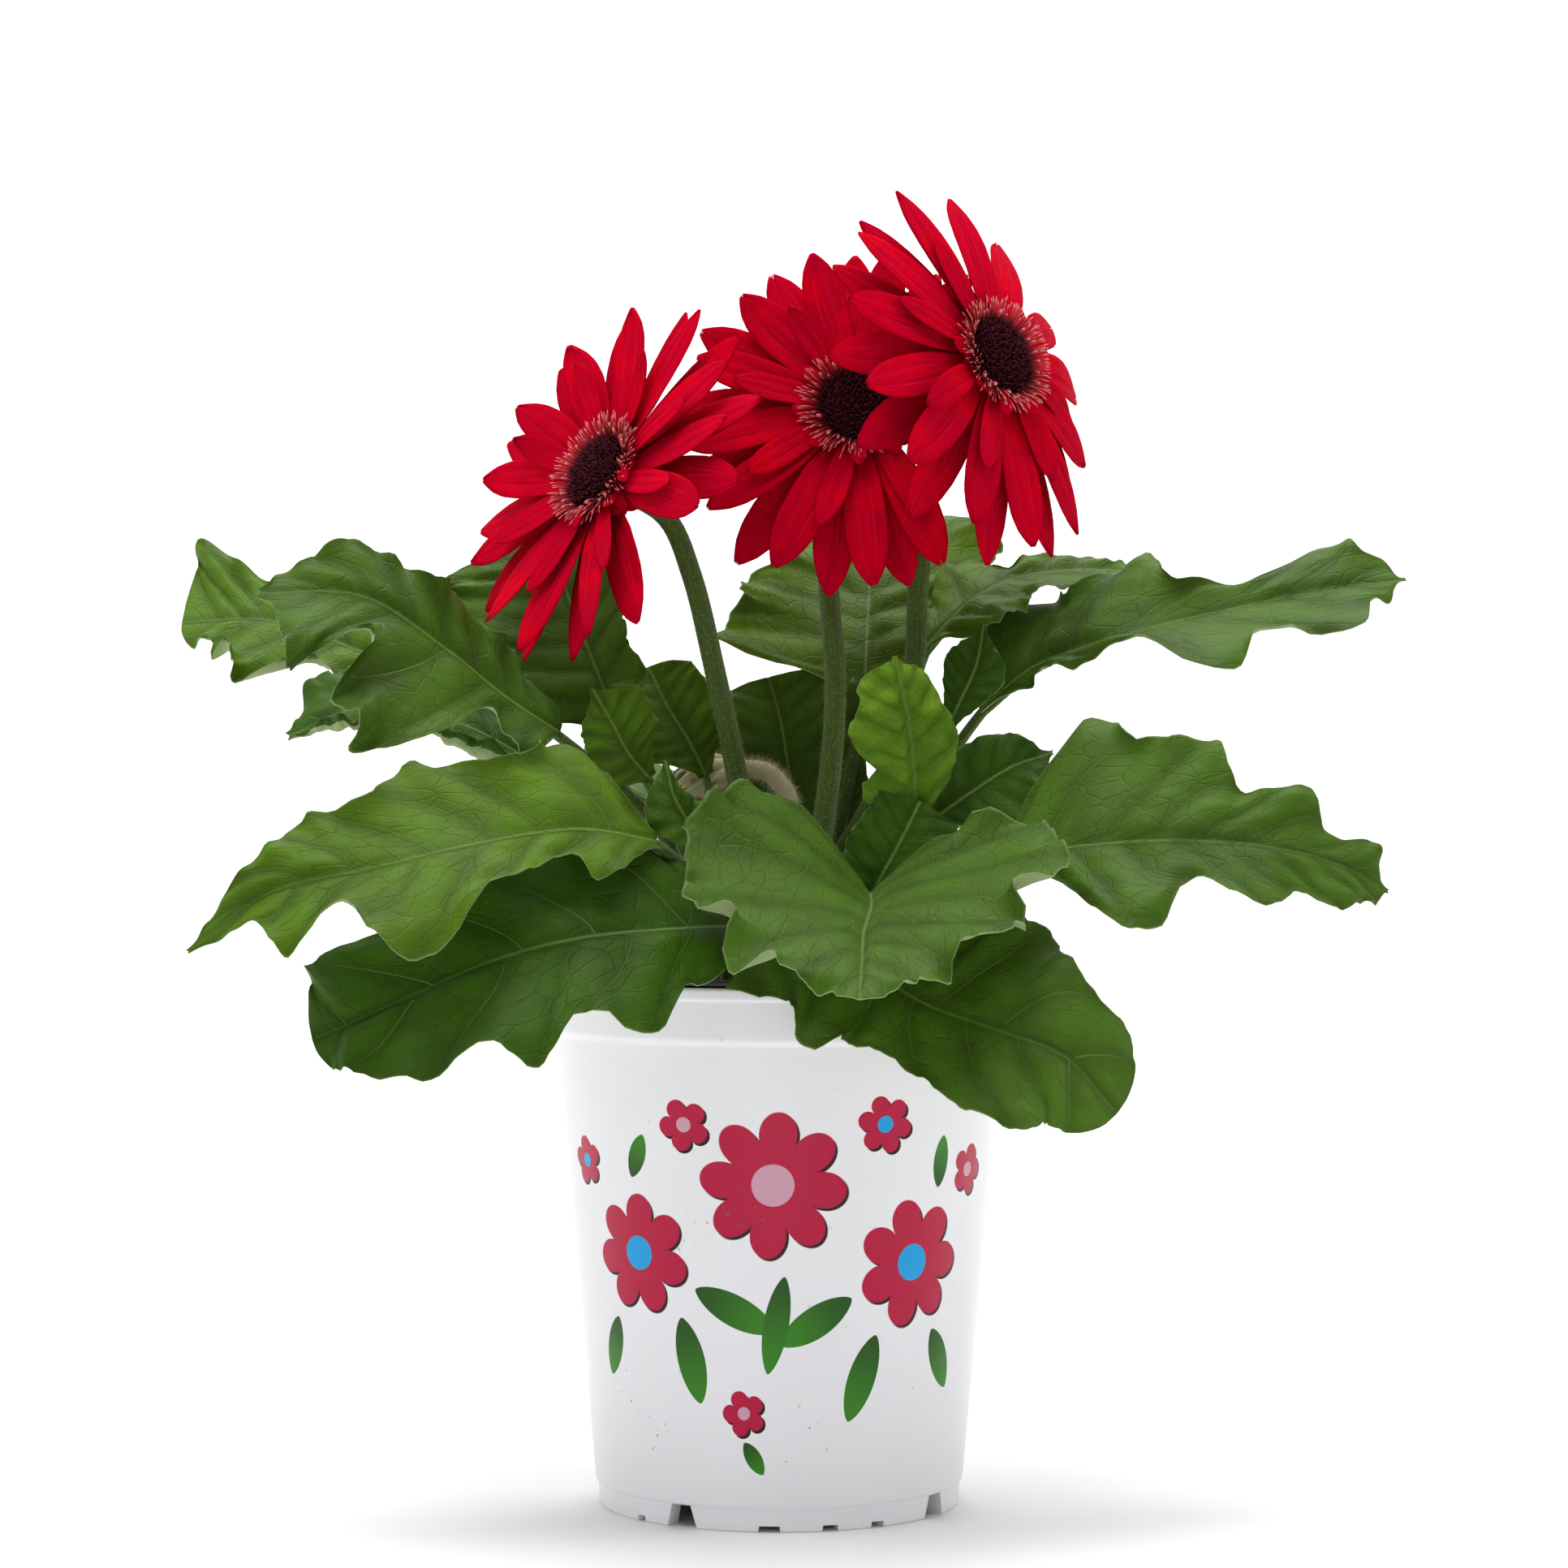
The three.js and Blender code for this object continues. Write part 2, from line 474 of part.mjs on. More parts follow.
// Florets stand on the dome in a spiral.
function disc(frame) {
  const base = head.ringThickness + 2 * fit;
  const radius = head.discRadius - 0.6;
  const dome = [[0, base], [radius, base], [radius, base + 2], [radius * 0.7, base + 4.2], [0, base + 4.8]];
  let solid = latheSolid(dome, 14, frame);
  const florets = 16;
  for (let index = 0; index < florets; index++) {
    const out = radius * 0.9 * Math.sqrt((index + 0.7) / florets);
    const place = new THREE.Vector3(out, 0, base + 4.4 - 0.02 * out * out)
      .applyAxisAngle(new THREE.Vector3(0, 0, 1), index * toRadians(137.5));
    const floret = new THREE.ConeGeometry(1.3, 3, 3).rotateX(Math.PI / 2);
    floret.translate(place.x, place.y, place.z).applyMatrix4(frame);
    solid = solid.add(toSolid(floret));
  }
  return solid;
}

// The fringe of filaments round the disc is carried by a narrow collar.
function filaments(frame) {
  const base = head.ringThickness + 2 * fit;
  const inner = head.discRadius;
  const outer = inner + 1.8;
  const collar = [[inner, base], [outer, base], [outer, base + 1.6], [inner, base + 1.6], [inner, base]];
  let solid = latheSolid(collar, 12, frame);
  for (let index = 0; index < filament.count; index++) {
    const angle = (2 * Math.PI * (index + 0.5)) / filament.count;
    const reach = filament.reach * (index % 2 ? 1 : 0.72);
    const at = (out, height) => new THREE.Vector3(out, 0, height)
      .applyAxisAngle(new THREE.Vector3(0, 0, 1), angle).applyMatrix4(frame);
    const middle = (inner + outer) / 2;
    const ends = [at(middle, base + 0.8), at(middle + reach, base + 0.8 + filament.rise)];
    solid = solid.add(tube(ends, filament.radius, filament.radius * 0.8, 3));
  }
  return solid;
}

// Scape: the flower's bare stalk, which widens into the green cup under the rays.
function scape(flower, frame, back) {
  const centres = stalkCentres(flower.foot, [...flower.neck, back.toArray()], 9);
  const depth = head.cupDepth;
  const cup = [[0, -depth], [4, -depth], [9, -depth * 0.6], [12.5, -1.5], [12.5, 0], [0, 0]];
  return tube(centres, scapeRadius, 3.6, 6).add(latheSolid(cup, 10, frame));
}

// ---------------------------------------------------------------- bud
function budSolid() {
  const facing = vector(bud.facing).normalize();
  const centre = vector(bud.centre);
  const { length, radius } = bud;
  const body = [[0, -length / 2], [radius * 0.7, -length * 0.4], [radius, -length * 0.1],
    [radius * 0.85, length * 0.25], [radius * 0.4, length * 0.5], [0, length * 0.52]];
  const tail = centre.clone().addScaledVector(facing, -length * 0.42).toArray();
  const stalk = tube(stalkCentres(bud.foot, [...bud.neck, tail], 8), budStalkRadius, 3.4, 6);
  return latheSolid(body, 12, placed(centre, facing)).add(stalk);
}

// ---------------------------------------------------------------- pot, liner, soil, crown
function potOuterRadius(height) {
  const slope = (potTopRadius - bandProud - potBaseRadius) / (potHeight - footHeight);
  return potBaseRadius + slope * (height - footHeight);
}

function potSolid() {
  const bandBottom = potHeight - bandHeight;
  const floor = footHeight + 2;
  const shell = [
    [0, footHeight], [potBaseRadius - 7, footHeight], [potBaseRadius - 8, 0], [potBaseRadius - 1.6, 0],
    [potBaseRadius - 1, footHeight], [potBaseRadius, footHeight + 1],
    [potOuterRadius(bandBottom), bandBottom], [potTopRadius - 0.6, bandBottom + 1],
    [potTopRadius, bandBottom + 2.2], [potTopRadius, potHeight - 2], [potTopRadius - 0.9, potHeight],
    [potTopRadius - 2, potHeight], [potOuterRadius(bandBottom) - potWall, bandBottom],
    [potBaseRadius - potWall, floor], [0, floor],
  ];
  let solid = latheSolid(shell, roundSegments);
  for (const angle of footGapAngles) solid = solid.subtract(footCut(angle, footGapWidth, footHeight, 5));
  for (const [angle, width] of footNotches) solid = solid.subtract(footCut(angle, width, 2.2, 1));
  for (const angle of [45, 135, 225, 315]) {
    const hole = new THREE.CylinderGeometry(5, 5, 10, 10).rotateX(Math.PI / 2);
    hole.translate(38 * Math.cos(toRadians(angle)), 38 * Math.sin(toRadians(angle)), floor);
    solid = solid.subtract(toSolid(hole));
  }
  return solid;
}

// Cut under the foot ring, with sloping ends.
function footCut(angle, width, height, slope) {
  const half = potBaseRadius * Math.tan(toRadians(width / 2));
  const outline = new THREE.Shape([
    new THREE.Vector2(-half, -1), new THREE.Vector2(half, -1), new THREE.Vector2(half - slope * 0.5, height),
    new THREE.Vector2(slope * 0.5 - half, height),
  ]);
  const cut = new THREE.ExtrudeGeometry(outline, { depth: 14, bevelEnabled: false });
  cut.rotateX(Math.PI / 2).translate(0, -potBaseRadius + 12, 0).rotateZ(toRadians(angle + 90));
  return toSolid(cut);
}

function linerRadius(height) {
  const wallGap = 0.8;
  return potOuterRadius(height) - potWall - wallGap;
}

function linerSolid() {
  const { wall, top, rimWidth, rimThickness, floor } = liner;
  const throat = linerRadius(potHeight - bandHeight);
  const shell = [
    [0, floor], [linerRadius(floor), floor], [throat, potHeight - bandHeight], [throat, top - rimThickness],
    [throat + rimWidth, top - rimThickness], [throat + rimWidth, top], [throat - wall, top],
    [throat - wall, potHeight - bandHeight], [linerRadius(floor) - wall, floor + wall], [0, floor + wall],
  ];
  return latheSolid(shell, roundSegments);
}

function soilSolid(rootCut) {
  const bottom = liner.floor + liner.wall + fit;
  const shoulder = potHeight - bandHeight;
  const inner = (height) => linerRadius(height) - liner.wall - fit;
  const heap = [
    [0, bottom], [inner(bottom), bottom], [inner(shoulder), shoulder], [inner(shoulder), soilTop - 3],
    [inner(shoulder) * 0.7, soilTop - 1], [0, soilTop],
  ];
  return latheSolid(heap, roundSegments).subtract(rootCut);
}

function crownShape(grow) {
  const { radius, bottom, top } = crown;
  const dome = [[0, bottom - grow], [radius - 3 + grow, bottom - grow], [radius + grow, soilTop],
    [radius * 0.75, top - 1 + grow], [0, top + grow]];
  return latheSolid(dome, 20);
}

function crownSolid(sockets) {
  let solid = crownShape(0);
  for (const [foot, radius] of sockets) {
    const [[x, y, z]] = footPoints(foot);
    const socket = new THREE.CylinderGeometry(radius, radius, 30, 5).rotateX(Math.PI / 2);
    socket.translate(x, y, z - fit + 15);
    solid = solid.subtract(toSolid(socket));
  }
  return solid;
}

// ---------------------------------------------------------------- the plant in its pot
const plant = new THREE.Group();

function addPart(name, solid, material) {
  const mesh = new THREE.Mesh(toGeometry(solid), material);
  mesh.name = name;
  plant.add(mesh);
}

const sockets = [
  ...Object.values(leaves).map((leaf) => [leaf.foot, leaf.small ? smallStalkRadius : stalkRadius]),
  ...Object.values(flowers).map((flower) => [flower.foot, scapeRadius]),
  [bud.foot, budStalkRadius],
].map(([foot, radius]) => [foot, radius + socketClearance]);

addPart("pot", potSolid(), white);
addPart("liner", linerSolid(), black);
addPart("soil", soilSolid(crownShape(fit)), peat);
addPart("crown", crownSolid(sockets), crownGreen);
for (const [name, leaf] of Object.entries(leaves)) addPart(name, leafSolid(leaf), leaf.colour);
for (const [name, flower] of Object.entries(flowers)) {
  const facing = vector(flower.facing).normalize();
  const centre = vector(flower.centre);
  const frame = placed(centre.clone().addScaledVector(facing, -6), facing);
  const back = centre.clone().addScaledVector(facing, -6 - head.cupDepth + 2);
  addPart(`scape_${name}`, scape(flower, frame, back), scapeGreen);
  addPart(`petals_${name}`, petals(flower, frame), petalRed);
  addPart(`disc_${name}`, disc(frame), discBrown);
  addPart(`filaments_${name}`, filaments(frame), filamentPink);
}
addPart("bud", budSolid(), budTan);

export default plant;
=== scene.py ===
"""Potted gerbera: three red flower heads, a nodding bud and lobed leaves in a white pot."""
import math

import bpy
import numpy as np
from mathutils import Matrix, Vector


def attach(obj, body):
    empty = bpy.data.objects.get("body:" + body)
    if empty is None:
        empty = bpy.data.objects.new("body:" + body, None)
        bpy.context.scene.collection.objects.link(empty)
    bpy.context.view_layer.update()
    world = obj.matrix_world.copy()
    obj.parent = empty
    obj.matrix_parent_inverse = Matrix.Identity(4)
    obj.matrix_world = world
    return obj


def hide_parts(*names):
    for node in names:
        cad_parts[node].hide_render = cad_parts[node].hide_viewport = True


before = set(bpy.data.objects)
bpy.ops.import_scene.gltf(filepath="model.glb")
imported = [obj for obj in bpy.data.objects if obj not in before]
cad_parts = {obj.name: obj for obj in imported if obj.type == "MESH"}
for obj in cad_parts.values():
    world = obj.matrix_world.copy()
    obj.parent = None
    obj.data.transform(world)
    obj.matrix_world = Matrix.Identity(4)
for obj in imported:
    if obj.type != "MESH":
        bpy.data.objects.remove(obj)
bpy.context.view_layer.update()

bl_info = {
    "name": "Potted Gerbera",
    "version": (1, 0, 0),
    "blender": (4, 5, 0),
    "location": "3D View > Sidebar > Gerbera",
    "description": "Builds a potted gerbera piece by piece round its solid frame",
    "category": "Object",
}

# ------------------------------------------------------------------ the plant's lines, in millimetres
# Each leaf, named as its solid. colour: the green it takes, where look gives no other. look: its green, where
# that is another.
# small: a small inner leaf, made of fewer points. foot: where the stalk stands in the crown, as [distance
# from its middle, azimuth]. stalk, rib: points of the leaf stalk and of the blade's midrib. up: where the
# upper face looks. fold: how far the two halves rise, in degrees, at the base and the tip. lean: how far
# the lobes lean forward, likewise. wave: number and height of the margin's waves.
# right, left: widest and narrowest places of each half, as [percent of the midrib, width].
# cup: how much more each half rises near the base, in degrees. scallop: number and depth of small lobes.
# soften: over how many points each way the outline is averaged. blunt: a round tip, the rounder the lower
# the number. roll: how far a margin rolls up, in radians. curl: how strongly lobes roll down and bays roll
# up. strip: share of each half that takes part in the roll. ruffle: height of the frilled margin.
# crumple: height of the creases between the veins.
# A leaf's look is a lighter or darker green than its colour, chosen to make up for the light and shade the
# leaf lies in: painted light and shade.
LEAVES = {
    "leaf_right": {
        "colour": "mid", "foot": [24, -28], "stalk": [[38, -22, 206]],
        "rib": [[74, -46, 228], [101, -62, 233], [133, -74, 235], [164, -78, 233], [188, -76, 227],
                [205, -72, 218]],
        "up": [0.05, -0.8, 0.6], "fold": [6, 6], "lean": [10, 35], "wave": [4, 2.5],
        "right": [[0, 4], [12, 13], [30, 44], [41, 19], [53, 30], [62, 20], [71, 23], [90, 10], [100, 1]],
        "left": [[0, 8], [11, 58], [26, 43], [37, 43], [50, 22], [57, 28], [74, 12], [80, 15], [100, 1]],
    },
    "leaf_right_high": {
        "colour": "fresh", "foot": [24, 20], "stalk": [[38, 18, 225]],
        "rib": [[72, 18, 281], [91, 12, 296], [106, 5, 302], [142, -6, 312], [192, -14, 322],
                [220, -14, 326]],
        "up": [-0.1, -0.62, 0.79], "fold": [10, 10], "lean": [0, 30], "wave": [4, 3],
        "right": [[0, 3], [30, 11], [48, 9], [61, 42], [68, 26], [75, 40], [87, 15], [100, 1]],
        "left": [[0, 4], [18, 36], [36, 26], [48, 45], [60, 15], [68, 12], [77, 27], [90, 13], [100, 1]],
        "curl": 1.3, "look": "mid",
    },
    "leaf_left_high": {
        "colour": "dark", "foot": [24, -160], "stalk": [[-38, -14, 232]],
        "rib": [[-76, -28, 272], [-94, -40, 284], [-115, -51, 301], [-142, -58, 318], [-176, -62, 319]],
        "up": [0, -0.75, 0.66], "fold": [4, 4], "lean": [5, 30], "wave": [4, 3],
        "right": [[0, 6], [14, 16], [31, 19], [48, 24], [60, 21], [72, 24], [88, 14], [100, 2]],
        "left": [[0, 3], [12, 22], [26, 14], [44, 58], [54, 50], [65, 26], [76, 42], [100, 3]],
        "curl": 2.3, "strip": 0.4, "look": "mid",
    },
    "leaf_left_upright": {
        "colour": "dark", "foot": [15.5, 180], "stalk": [[-32, 6, 225]],
        "rib": [[-58, 8, 276], [-66, 14, 296], [-73, 22, 313], [-80, 32, 331], [-88, 42, 345]],
        "up": [-0.1, -0.95, 0.2], "fold": [6, 6], "lean": [0, 20], "wave": [3, 2],
        "right": [[0, 8], [15, 18], [24, 15], [45, 21], [60, 20], [100, 2]],
        "left": [[0, 10], [12, 26], [35, 35], [62, 49], [82, 46], [100, 8]],
        "scallop": [4, 0.08], "curl": 1.6, "strip": 0.3, "look": "mid",
    },
    "leaf_left_back": {
        "colour": "fresh", "foot": [24, 134], "stalk": [[-22, 20, 195], [-60, 26, 244]],
        "rib": [[-118, 30, 288], [-154, 38, 303], [-187, 42, 314], [-219, 44, 313]],
        "up": [0, -0.7, 0.7], "fold": [4, 4], "lean": [10, 30], "wave": [4, 3],
        "right": [[0, 5], [20, 16], [48, 23], [64, 22], [79, 42], [100, 2]],
        "left": [[0, 5], [14, 18], [36, 22], [50, 42], [64, 34], [83, 18], [100, 1]],
        "roll": {"left": 1.3}, "strip": 0.36, "blunt": 0.5,
    },
    "leaf_left_under": {
        "colour": "dark", "foot": [24, 178], "stalk": [[-50, 4, 226]],
        "rib": [[-86, -6, 262], [-114, -12, 276], [-145, -19, 281], [-171, -22, 271]],
        "up": [0, -0.5, 0.86], "fold": [0, 0], "lean": [10, 25], "wave": [3, 2],
        "right": [[0, 5], [29, 34], [50, 32], [72, 27], [100, 3]],
        "left": [[0, 6], [14, 30], [40, 26], [64, 27], [100, 3]],
        "roll": {"left": 2.3}, "strip": 0.44,
    },
    "leaf_left_front": {
        "colour": "fresh", "foot": [24, -130], "stalk": [[-28, -40, 218]],
        "rib": [[-41, -66, 235], [-66, -84, 239], [-97, -102, 235], [-135, -116, 226], [-164, -122, 219],
                [-191, -124, 200]],
        "up": [0, -0.75, 0.66], "fold": [4, 4], "lean": [0, 35], "wave": [4, 2.5],
        "right": [[0, 4], [6, 12], [11, 47], [28, 30], [39, 43], [53, 27], [60, 29], [84, 11], [100, 1]],
        "left": [[0, 4], [18, 22], [25, 13], [38, 22], [52, 43], [64, 18], [72, 29], [86, 8], [100, 1]],
        "curl": 1.4, "ruffle": 1.6, "strip": 0.28,
    },
    "leaf_left_low": {
        "colour": "dark", "foot": [24, -104], "stalk": [[-11, -42, 204]],
        "rib": [[-12, -62, 206], [-30, -80, 206], [-67, -100, 203], [-94, -109, 196], [-137, -109, 177],
                [-153, -107, 170]],
        "up": [-0.1, -0.85, 0.5], "fold": [0, 0], "lean": [0, 30], "wave": [4, 2.5],
        "right": [[0, 8], [15, 44], [32, 38], [50, 31], [73, 30], [100, 1]],
        "left": [[0, 6], [22, 22], [31, 41], [41, 29], [52, 43], [63, 29], [68, 34], [75, 24], [84, 16],
                 [100, 1]],
        "curl": 0.7, "blunt": 0.5,
    },
    "leaf_front": {
        "colour": "mid", "foot": [24, -52], "stalk": [[19, -34, 214]],
        "rib": [[31, -62, 217], [31, -76, 213], [28, -100, 205], [27, -125, 197], [26, -148, 186]],
        "up": [0, -0.2, 1], "fold": [34, -10], "lean": [-35, 48], "wave": [4, 3],
        "right": [[0, 20], [6, 60], [24, 68], [36, 69], [50, 62], [58, 50], [66, 46], [72, 33],
                  [79, 24], [86, 16], [93, 9], [100, 0.5]],
        "left": [[0, 20], [6, 42], [24, 71], [36, 72], [50, 55], [58, 55], [67, 34], [73, 30], [80, 23],
                 [87, 15], [93, 9], [100, 0.5]],
        "scallop": [6, 0.06], "blunt": 1, "soften": 2, "curl": 1.7, "strip": 0.28,
        "cup": {"left": -3, "right": 11},
    },
    "leaf_front_right_low": {
        "colour": "dark", "foot": [24, -78], "stalk": [[0, -50, 201]],
        "rib": [[-6, -80, 202], [18, -86, 198], [38, -91, 187], [49, -98, 181], [69, -106, 174],
                [93, -109, 165], [111, -107, 146]],
        "up": [0.2, -0.85, 0.45], "fold": [0, 0], "lean": [-18, 28], "wave": [3, 2],
        "right": [[0, 22], [9, 22], [17, 25], [25, 36], [35, 30], [48, 24], [72, 34], [88, 22], [100, 1]],
        "left": [[0, 8], [20, 8], [34, 38], [48, 50], [62, 44], [84, 24], [100, 1]],
        "curl": 0.7, "blunt": 0.5, "look": "mid",
    },
    "leaf_back_mid": {
        "colour": "mid", "foot": [15.5, 66], "stalk": [[22, 22, 240]],
        "rib": [[31, 32, 288], [32, 44, 306], [33, 58, 321], [34, 74, 337], [35, 92, 353]],
        "up": [0, -0.85, 0.5], "fold": [5, 5], "lean": [0, 30], "wave": [4, 3],
        "right": [[0, 6], [20, 22], [45, 34], [66, 52], [82, 44], [100, 8]],
        "left": [[0, 10], [16, 55], [36, 48], [48, 47], [60, 32], [75, 30], [100, 4]],
        "look": "fresh",
    },
    "leaf_right_back": {
        "colour": "fresh", "foot": [15.5, 36], "stalk": [[20, 14, 200], [38, 24, 246]],
        "rib": [[52, 28, 303], [66, 33, 318], [84, 40, 329], [113, 50, 333], [134, 56, 332]],
        "up": [0, -0.35, 0.94], "fold": [0, 0], "lean": [0, 20], "wave": [4, 2],
        "right": [[0, 3], [29, 24], [50, 20], [84, 9], [100, 1]],
        "left": [[0, 3], [40, 30], [54, 11], [72, 20], [84, 7], [92, 12], [100, 1]],
    },
    "leaf_young_front": {
        "small": True, "colour": "fresh", "foot": [15.5, -30], "stalk": [[32, -12, 216]],
        "rib": [[48, -22, 240], [47, -29, 258], [45, -35, 275], [42, -38, 289], [40, -37, 298]],
        "up": [0.1, -0.97, 0.2], "fold": [10, 10], "lean": [0, 30], "wave": [4, 2],
        "right": [[0, 3], [22, 13], [37, 17], [60, 12], [100, 1]],
        "left": [[0, 4], [16, 20], [28, 16], [42, 23], [62, 18], [100, 1]],
        "crumple": 2.3, "curl": 1.2, "look": "young",
    },
    "leaf_small_right": {
        "small": True, "colour": "dark", "foot": [15.5, 3], "stalk": [[18, 1, 196], [40, 0, 238]],
        "rib": [[60, -2, 275], [65, -1, 285], [70, 1, 296], [73, 4, 311]],
        "up": [-0.2, -0.95, 0.1], "fold": [10, 10], "lean": [0, 25], "wave": [3, 1],
        "right": [[0, 3], [55, 12], [100, 1]],
        "left": [[0, 3], [60, 12], [100, 1]],
        "crumple": 0.4, "ruffle": 0.8,
    },
    "leaf_inner_right": {
        "small": True, "colour": "dark", "foot": [24, -4], "stalk": [[36, -8, 218]],
        "rib": [[53, -16, 241], [67, -22, 251], [81, -26, 260], [95, -28, 265]],
        "up": [0, -0.85, 0.5], "fold": [5, 5], "lean": [0, 30], "wave": [3, 1.5],
        "right": [[0, 3], [45, 22], [72, 15], [100, 1]],
        "left": [[0, 3], [30, 17], [56, 15], [100, 1]],
        "crumple": 0.4, "ruffle": 0.8,
    },
    "leaf_inner_left": {
        "small": True, "colour": "fresh", "foot": [15.5, -155], "stalk": [[-32, -16, 226]],
        "rib": [[-45, -22, 256], [-52, -26, 264], [-58, -28, 275], [-65, -29, 287]],
        "up": [0.1, -0.9, 0.4], "fold": [8, 8], "lean": [0, 25], "wave": [3, 1],
        "right": [[0, 3], [40, 15], [68, 16], [100, 1]],
        "left": [[0, 3], [35, 18], [60, 13], [100, 1]],
        "crumple": 0.6, "ruffle": 1, "curl": 1.3,
    },
    "leaf_mid_left": {
        "small": True, "colour": "mid", "foot": [15.5, -126], "stalk": [[-20, -8, 226]],
        "rib": [[-26, 2, 257], [-32, 4, 269], [-40, 8, 282], [-47, 14, 296]],
        "up": [0.1, -0.95, 0.3], "fold": [8, 8], "lean": [0, 25], "wave": [3, 1],
        "right": [[0, 3], [45, 19], [76, 16], [100, 1]],
        "left": [[0, 3], [45, 25], [78, 18], [100, 1]],
        "crumple": 0.6, "ruffle": 1, "curl": 1.3, "blunt": 0.5, "look": "fresh",
    },
    "leaf_small_left": {
        "small": True, "colour": "mid", "foot": [15.5, -95], "stalk": [[-12, -32, 212]],
        "rib": [[-22, -46, 233], [-30, -50, 240], [-36, -51, 250], [-39, -50, 262]],
        "up": [0, -0.9, 0.4], "fold": [8, 8], "lean": [0, 25], "wave": [2, 1],
        "right": [[0, 3], [25, 8], [100, 1]],
        "left": [[0, 3], [50, 13], [100, 1]],
        "crumple": 0.5, "ruffle": 0.9, "curl": 1.3,
    },
    "leaf_mid_back": {
        "small": True, "colour": "dark", "foot": [15.5, 94], "stalk": [[2, 25, 210]],
        "rib": [[4, 28, 224], [6, 29, 242], [3, 31, 262], [0, 34, 279], [-4, 41, 293]],
        "up": [0, -0.95, 0.3], "fold": [8, 8], "lean": [0, 25], "wave": [3, 1.5],
        "right": [[0, 6], [22, 27], [62, 32], [100, 2]],
        "left": [[0, 4], [20, 17], [62, 29], [100, 2]],
        "crumple": 0.5, "ruffle": 0.9, "blunt": 0.5, "look": "mid",
    },
    "leaf_centre_right": {
        "small": True, "colour": "dark", "foot": [15.5, -62], "stalk": [[19, -24, 206]],
        "rib": [[30, -31, 212], [36, -33, 223], [43, -34, 236], [49, -33, 248]],
        "up": [0, -0.95, 0.3], "fold": [6, 6], "lean": [0, 25], "wave": [3, 1],
        "right": [[0, 4], [30, 19], [70, 18], [100, 1]],
        "left": [[0, 4], [35, 17], [70, 16], [100, 1]],
        "crumple": 0.5, "ruffle": 0.8, "blunt": 0.5,
    },
    "leaf_back_left": {
        "colour": "mid", "foot": [24, 110], "stalk": [[-26, 34, 220]],
        "rib": [[-42, 54, 246], [-66, 80, 258], [-94, 106, 262], [-124, 130, 252]],
        "up": [0.1, -0.1, 1], "fold": [6, 4], "lean": [5, 30], "wave": [4, 3],
        "right": [[0, 4], [20, 28], [34, 22], [50, 34], [64, 24], [78, 24], [100, 2]],
        "left": [[0, 4], [24, 30], [38, 24], [56, 36], [70, 22], [82, 20], [100, 2]],
    },
    "leaf_back_right": {
        "colour": "dark", "foot": [24, 48], "stalk": [[40, 30, 216]],
        "rib": [[58, 48, 238], [84, 72, 248], [112, 96, 250], [140, 118, 242]],
        "up": [-0.1, -0.1, 1], "fold": [6, 4], "lean": [5, 30], "wave": [4, 3],
        "right": [[0, 4], [22, 30], [38, 22], [54, 34], [70, 22], [82, 20], [100, 2]],
        "left": [[0, 4], [20, 26], [36, 22], [52, 36], [66, 22], [80, 22], [100, 2]],
    },
    "leaf_back_high": {
        "colour": "fresh", "foot": [15.5, 122], "stalk": [[-8, 46, 226]],
        "rib": [[-6, 62, 256], [-4, 84, 276], [-2, 110, 286], [0, 142, 280]],
        "up": [0, -0.3, 1], "fold": [8, 6], "lean": [5, 30], "wave": [4, 3],
        "right": [[0, 4], [20, 28], [34, 22], [50, 36], [66, 24], [80, 20], [100, 2]],
        "left": [[0, 4], [26, 32], [40, 24], [58, 34], [72, 22], [84, 18], [100, 2]],
    },
    "leaf_back_low": {
        "colour": "dark", "foot": [24, 80], "stalk": [[18, 52, 202]],
        "rib": [[22, 78, 212], [26, 104, 212], [30, 128, 202], [34, 149, 184]],
        "up": [0, 0.2, 1], "fold": [6, 4], "lean": [5, 30], "wave": [4, 3],
        "right": [[0, 4], [22, 28], [38, 22], [56, 32], [72, 20], [100, 2]],
        "left": [[0, 4], [26, 30], [42, 24], [60, 32], [76, 20], [100, 2]],
    },
    "leaf_back_left_low": {
        "colour": "dark", "foot": [24, 156], "stalk": [[-46, 30, 206]],
        "rib": [[-66, 42, 218], [-92, 58, 220], [-122, 76, 210], [-150, 90, 190]],
        "up": [0, 0.1, 1], "fold": [6, 4], "lean": [5, 30], "wave": [4, 3],
        "right": [[0, 4], [20, 26], [36, 20], [54, 32], [70, 20], [100, 2]],
        "left": [[0, 4], [24, 28], [40, 22], [58, 32], [74, 20], [100, 2]],
    },
}

# foot, neck: the bare stalk's foot and the points up to the back of the head. centre, facing: place
# and direction of the head. reflex: how far the rays bend back. length: of the longest rays. turn: of the
# whole head, in degrees. lift: [azimuth, height] of the side whose tips rise more. gap: [from, to] of an
# arc whose rays stay short.
FLOWERS = {
    "left": {
        "foot": [6.2, 180], "centre": [-63, -24, 363], "facing": [-0.71, -0.58, 0.4],
        "reflex": 3, "length": 57, "turn": 4, "lift": [90, 9], "gap": [-94, -68],
        "neck": [[-13, 2, 245], [-23, -3, 295], [-31, -6, 328], [-39, -9, 347]],
    },
    "middle": {
        "foot": [6.2, -60], "centre": [28, 2, 389], "facing": [0, -0.94, 0.34],
        "reflex": 9, "length": 55, "turn": 9, "lift": [90, 8], "gap": [-48, 34],
        "neck": [[15, 0, 235], [20, 6, 285], [17.5, 17, 338], [22, 24, 368]],
    },
    "right": {
        "foot": [6.2, 60], "centre": [77, -28, 403], "facing": [0.66, -0.68, 0.3],
        "reflex": 10, "length": 57, "turn": 0, "lift": [62, -16], "gap": [0, 0],
        "neck": [[5, 7, 192], [14, 12, 214], [36, 17, 252], [48, 18, 293], [50, 17, 325],
                 [54, 12, 362], [60, -2, 388]],
    },
}
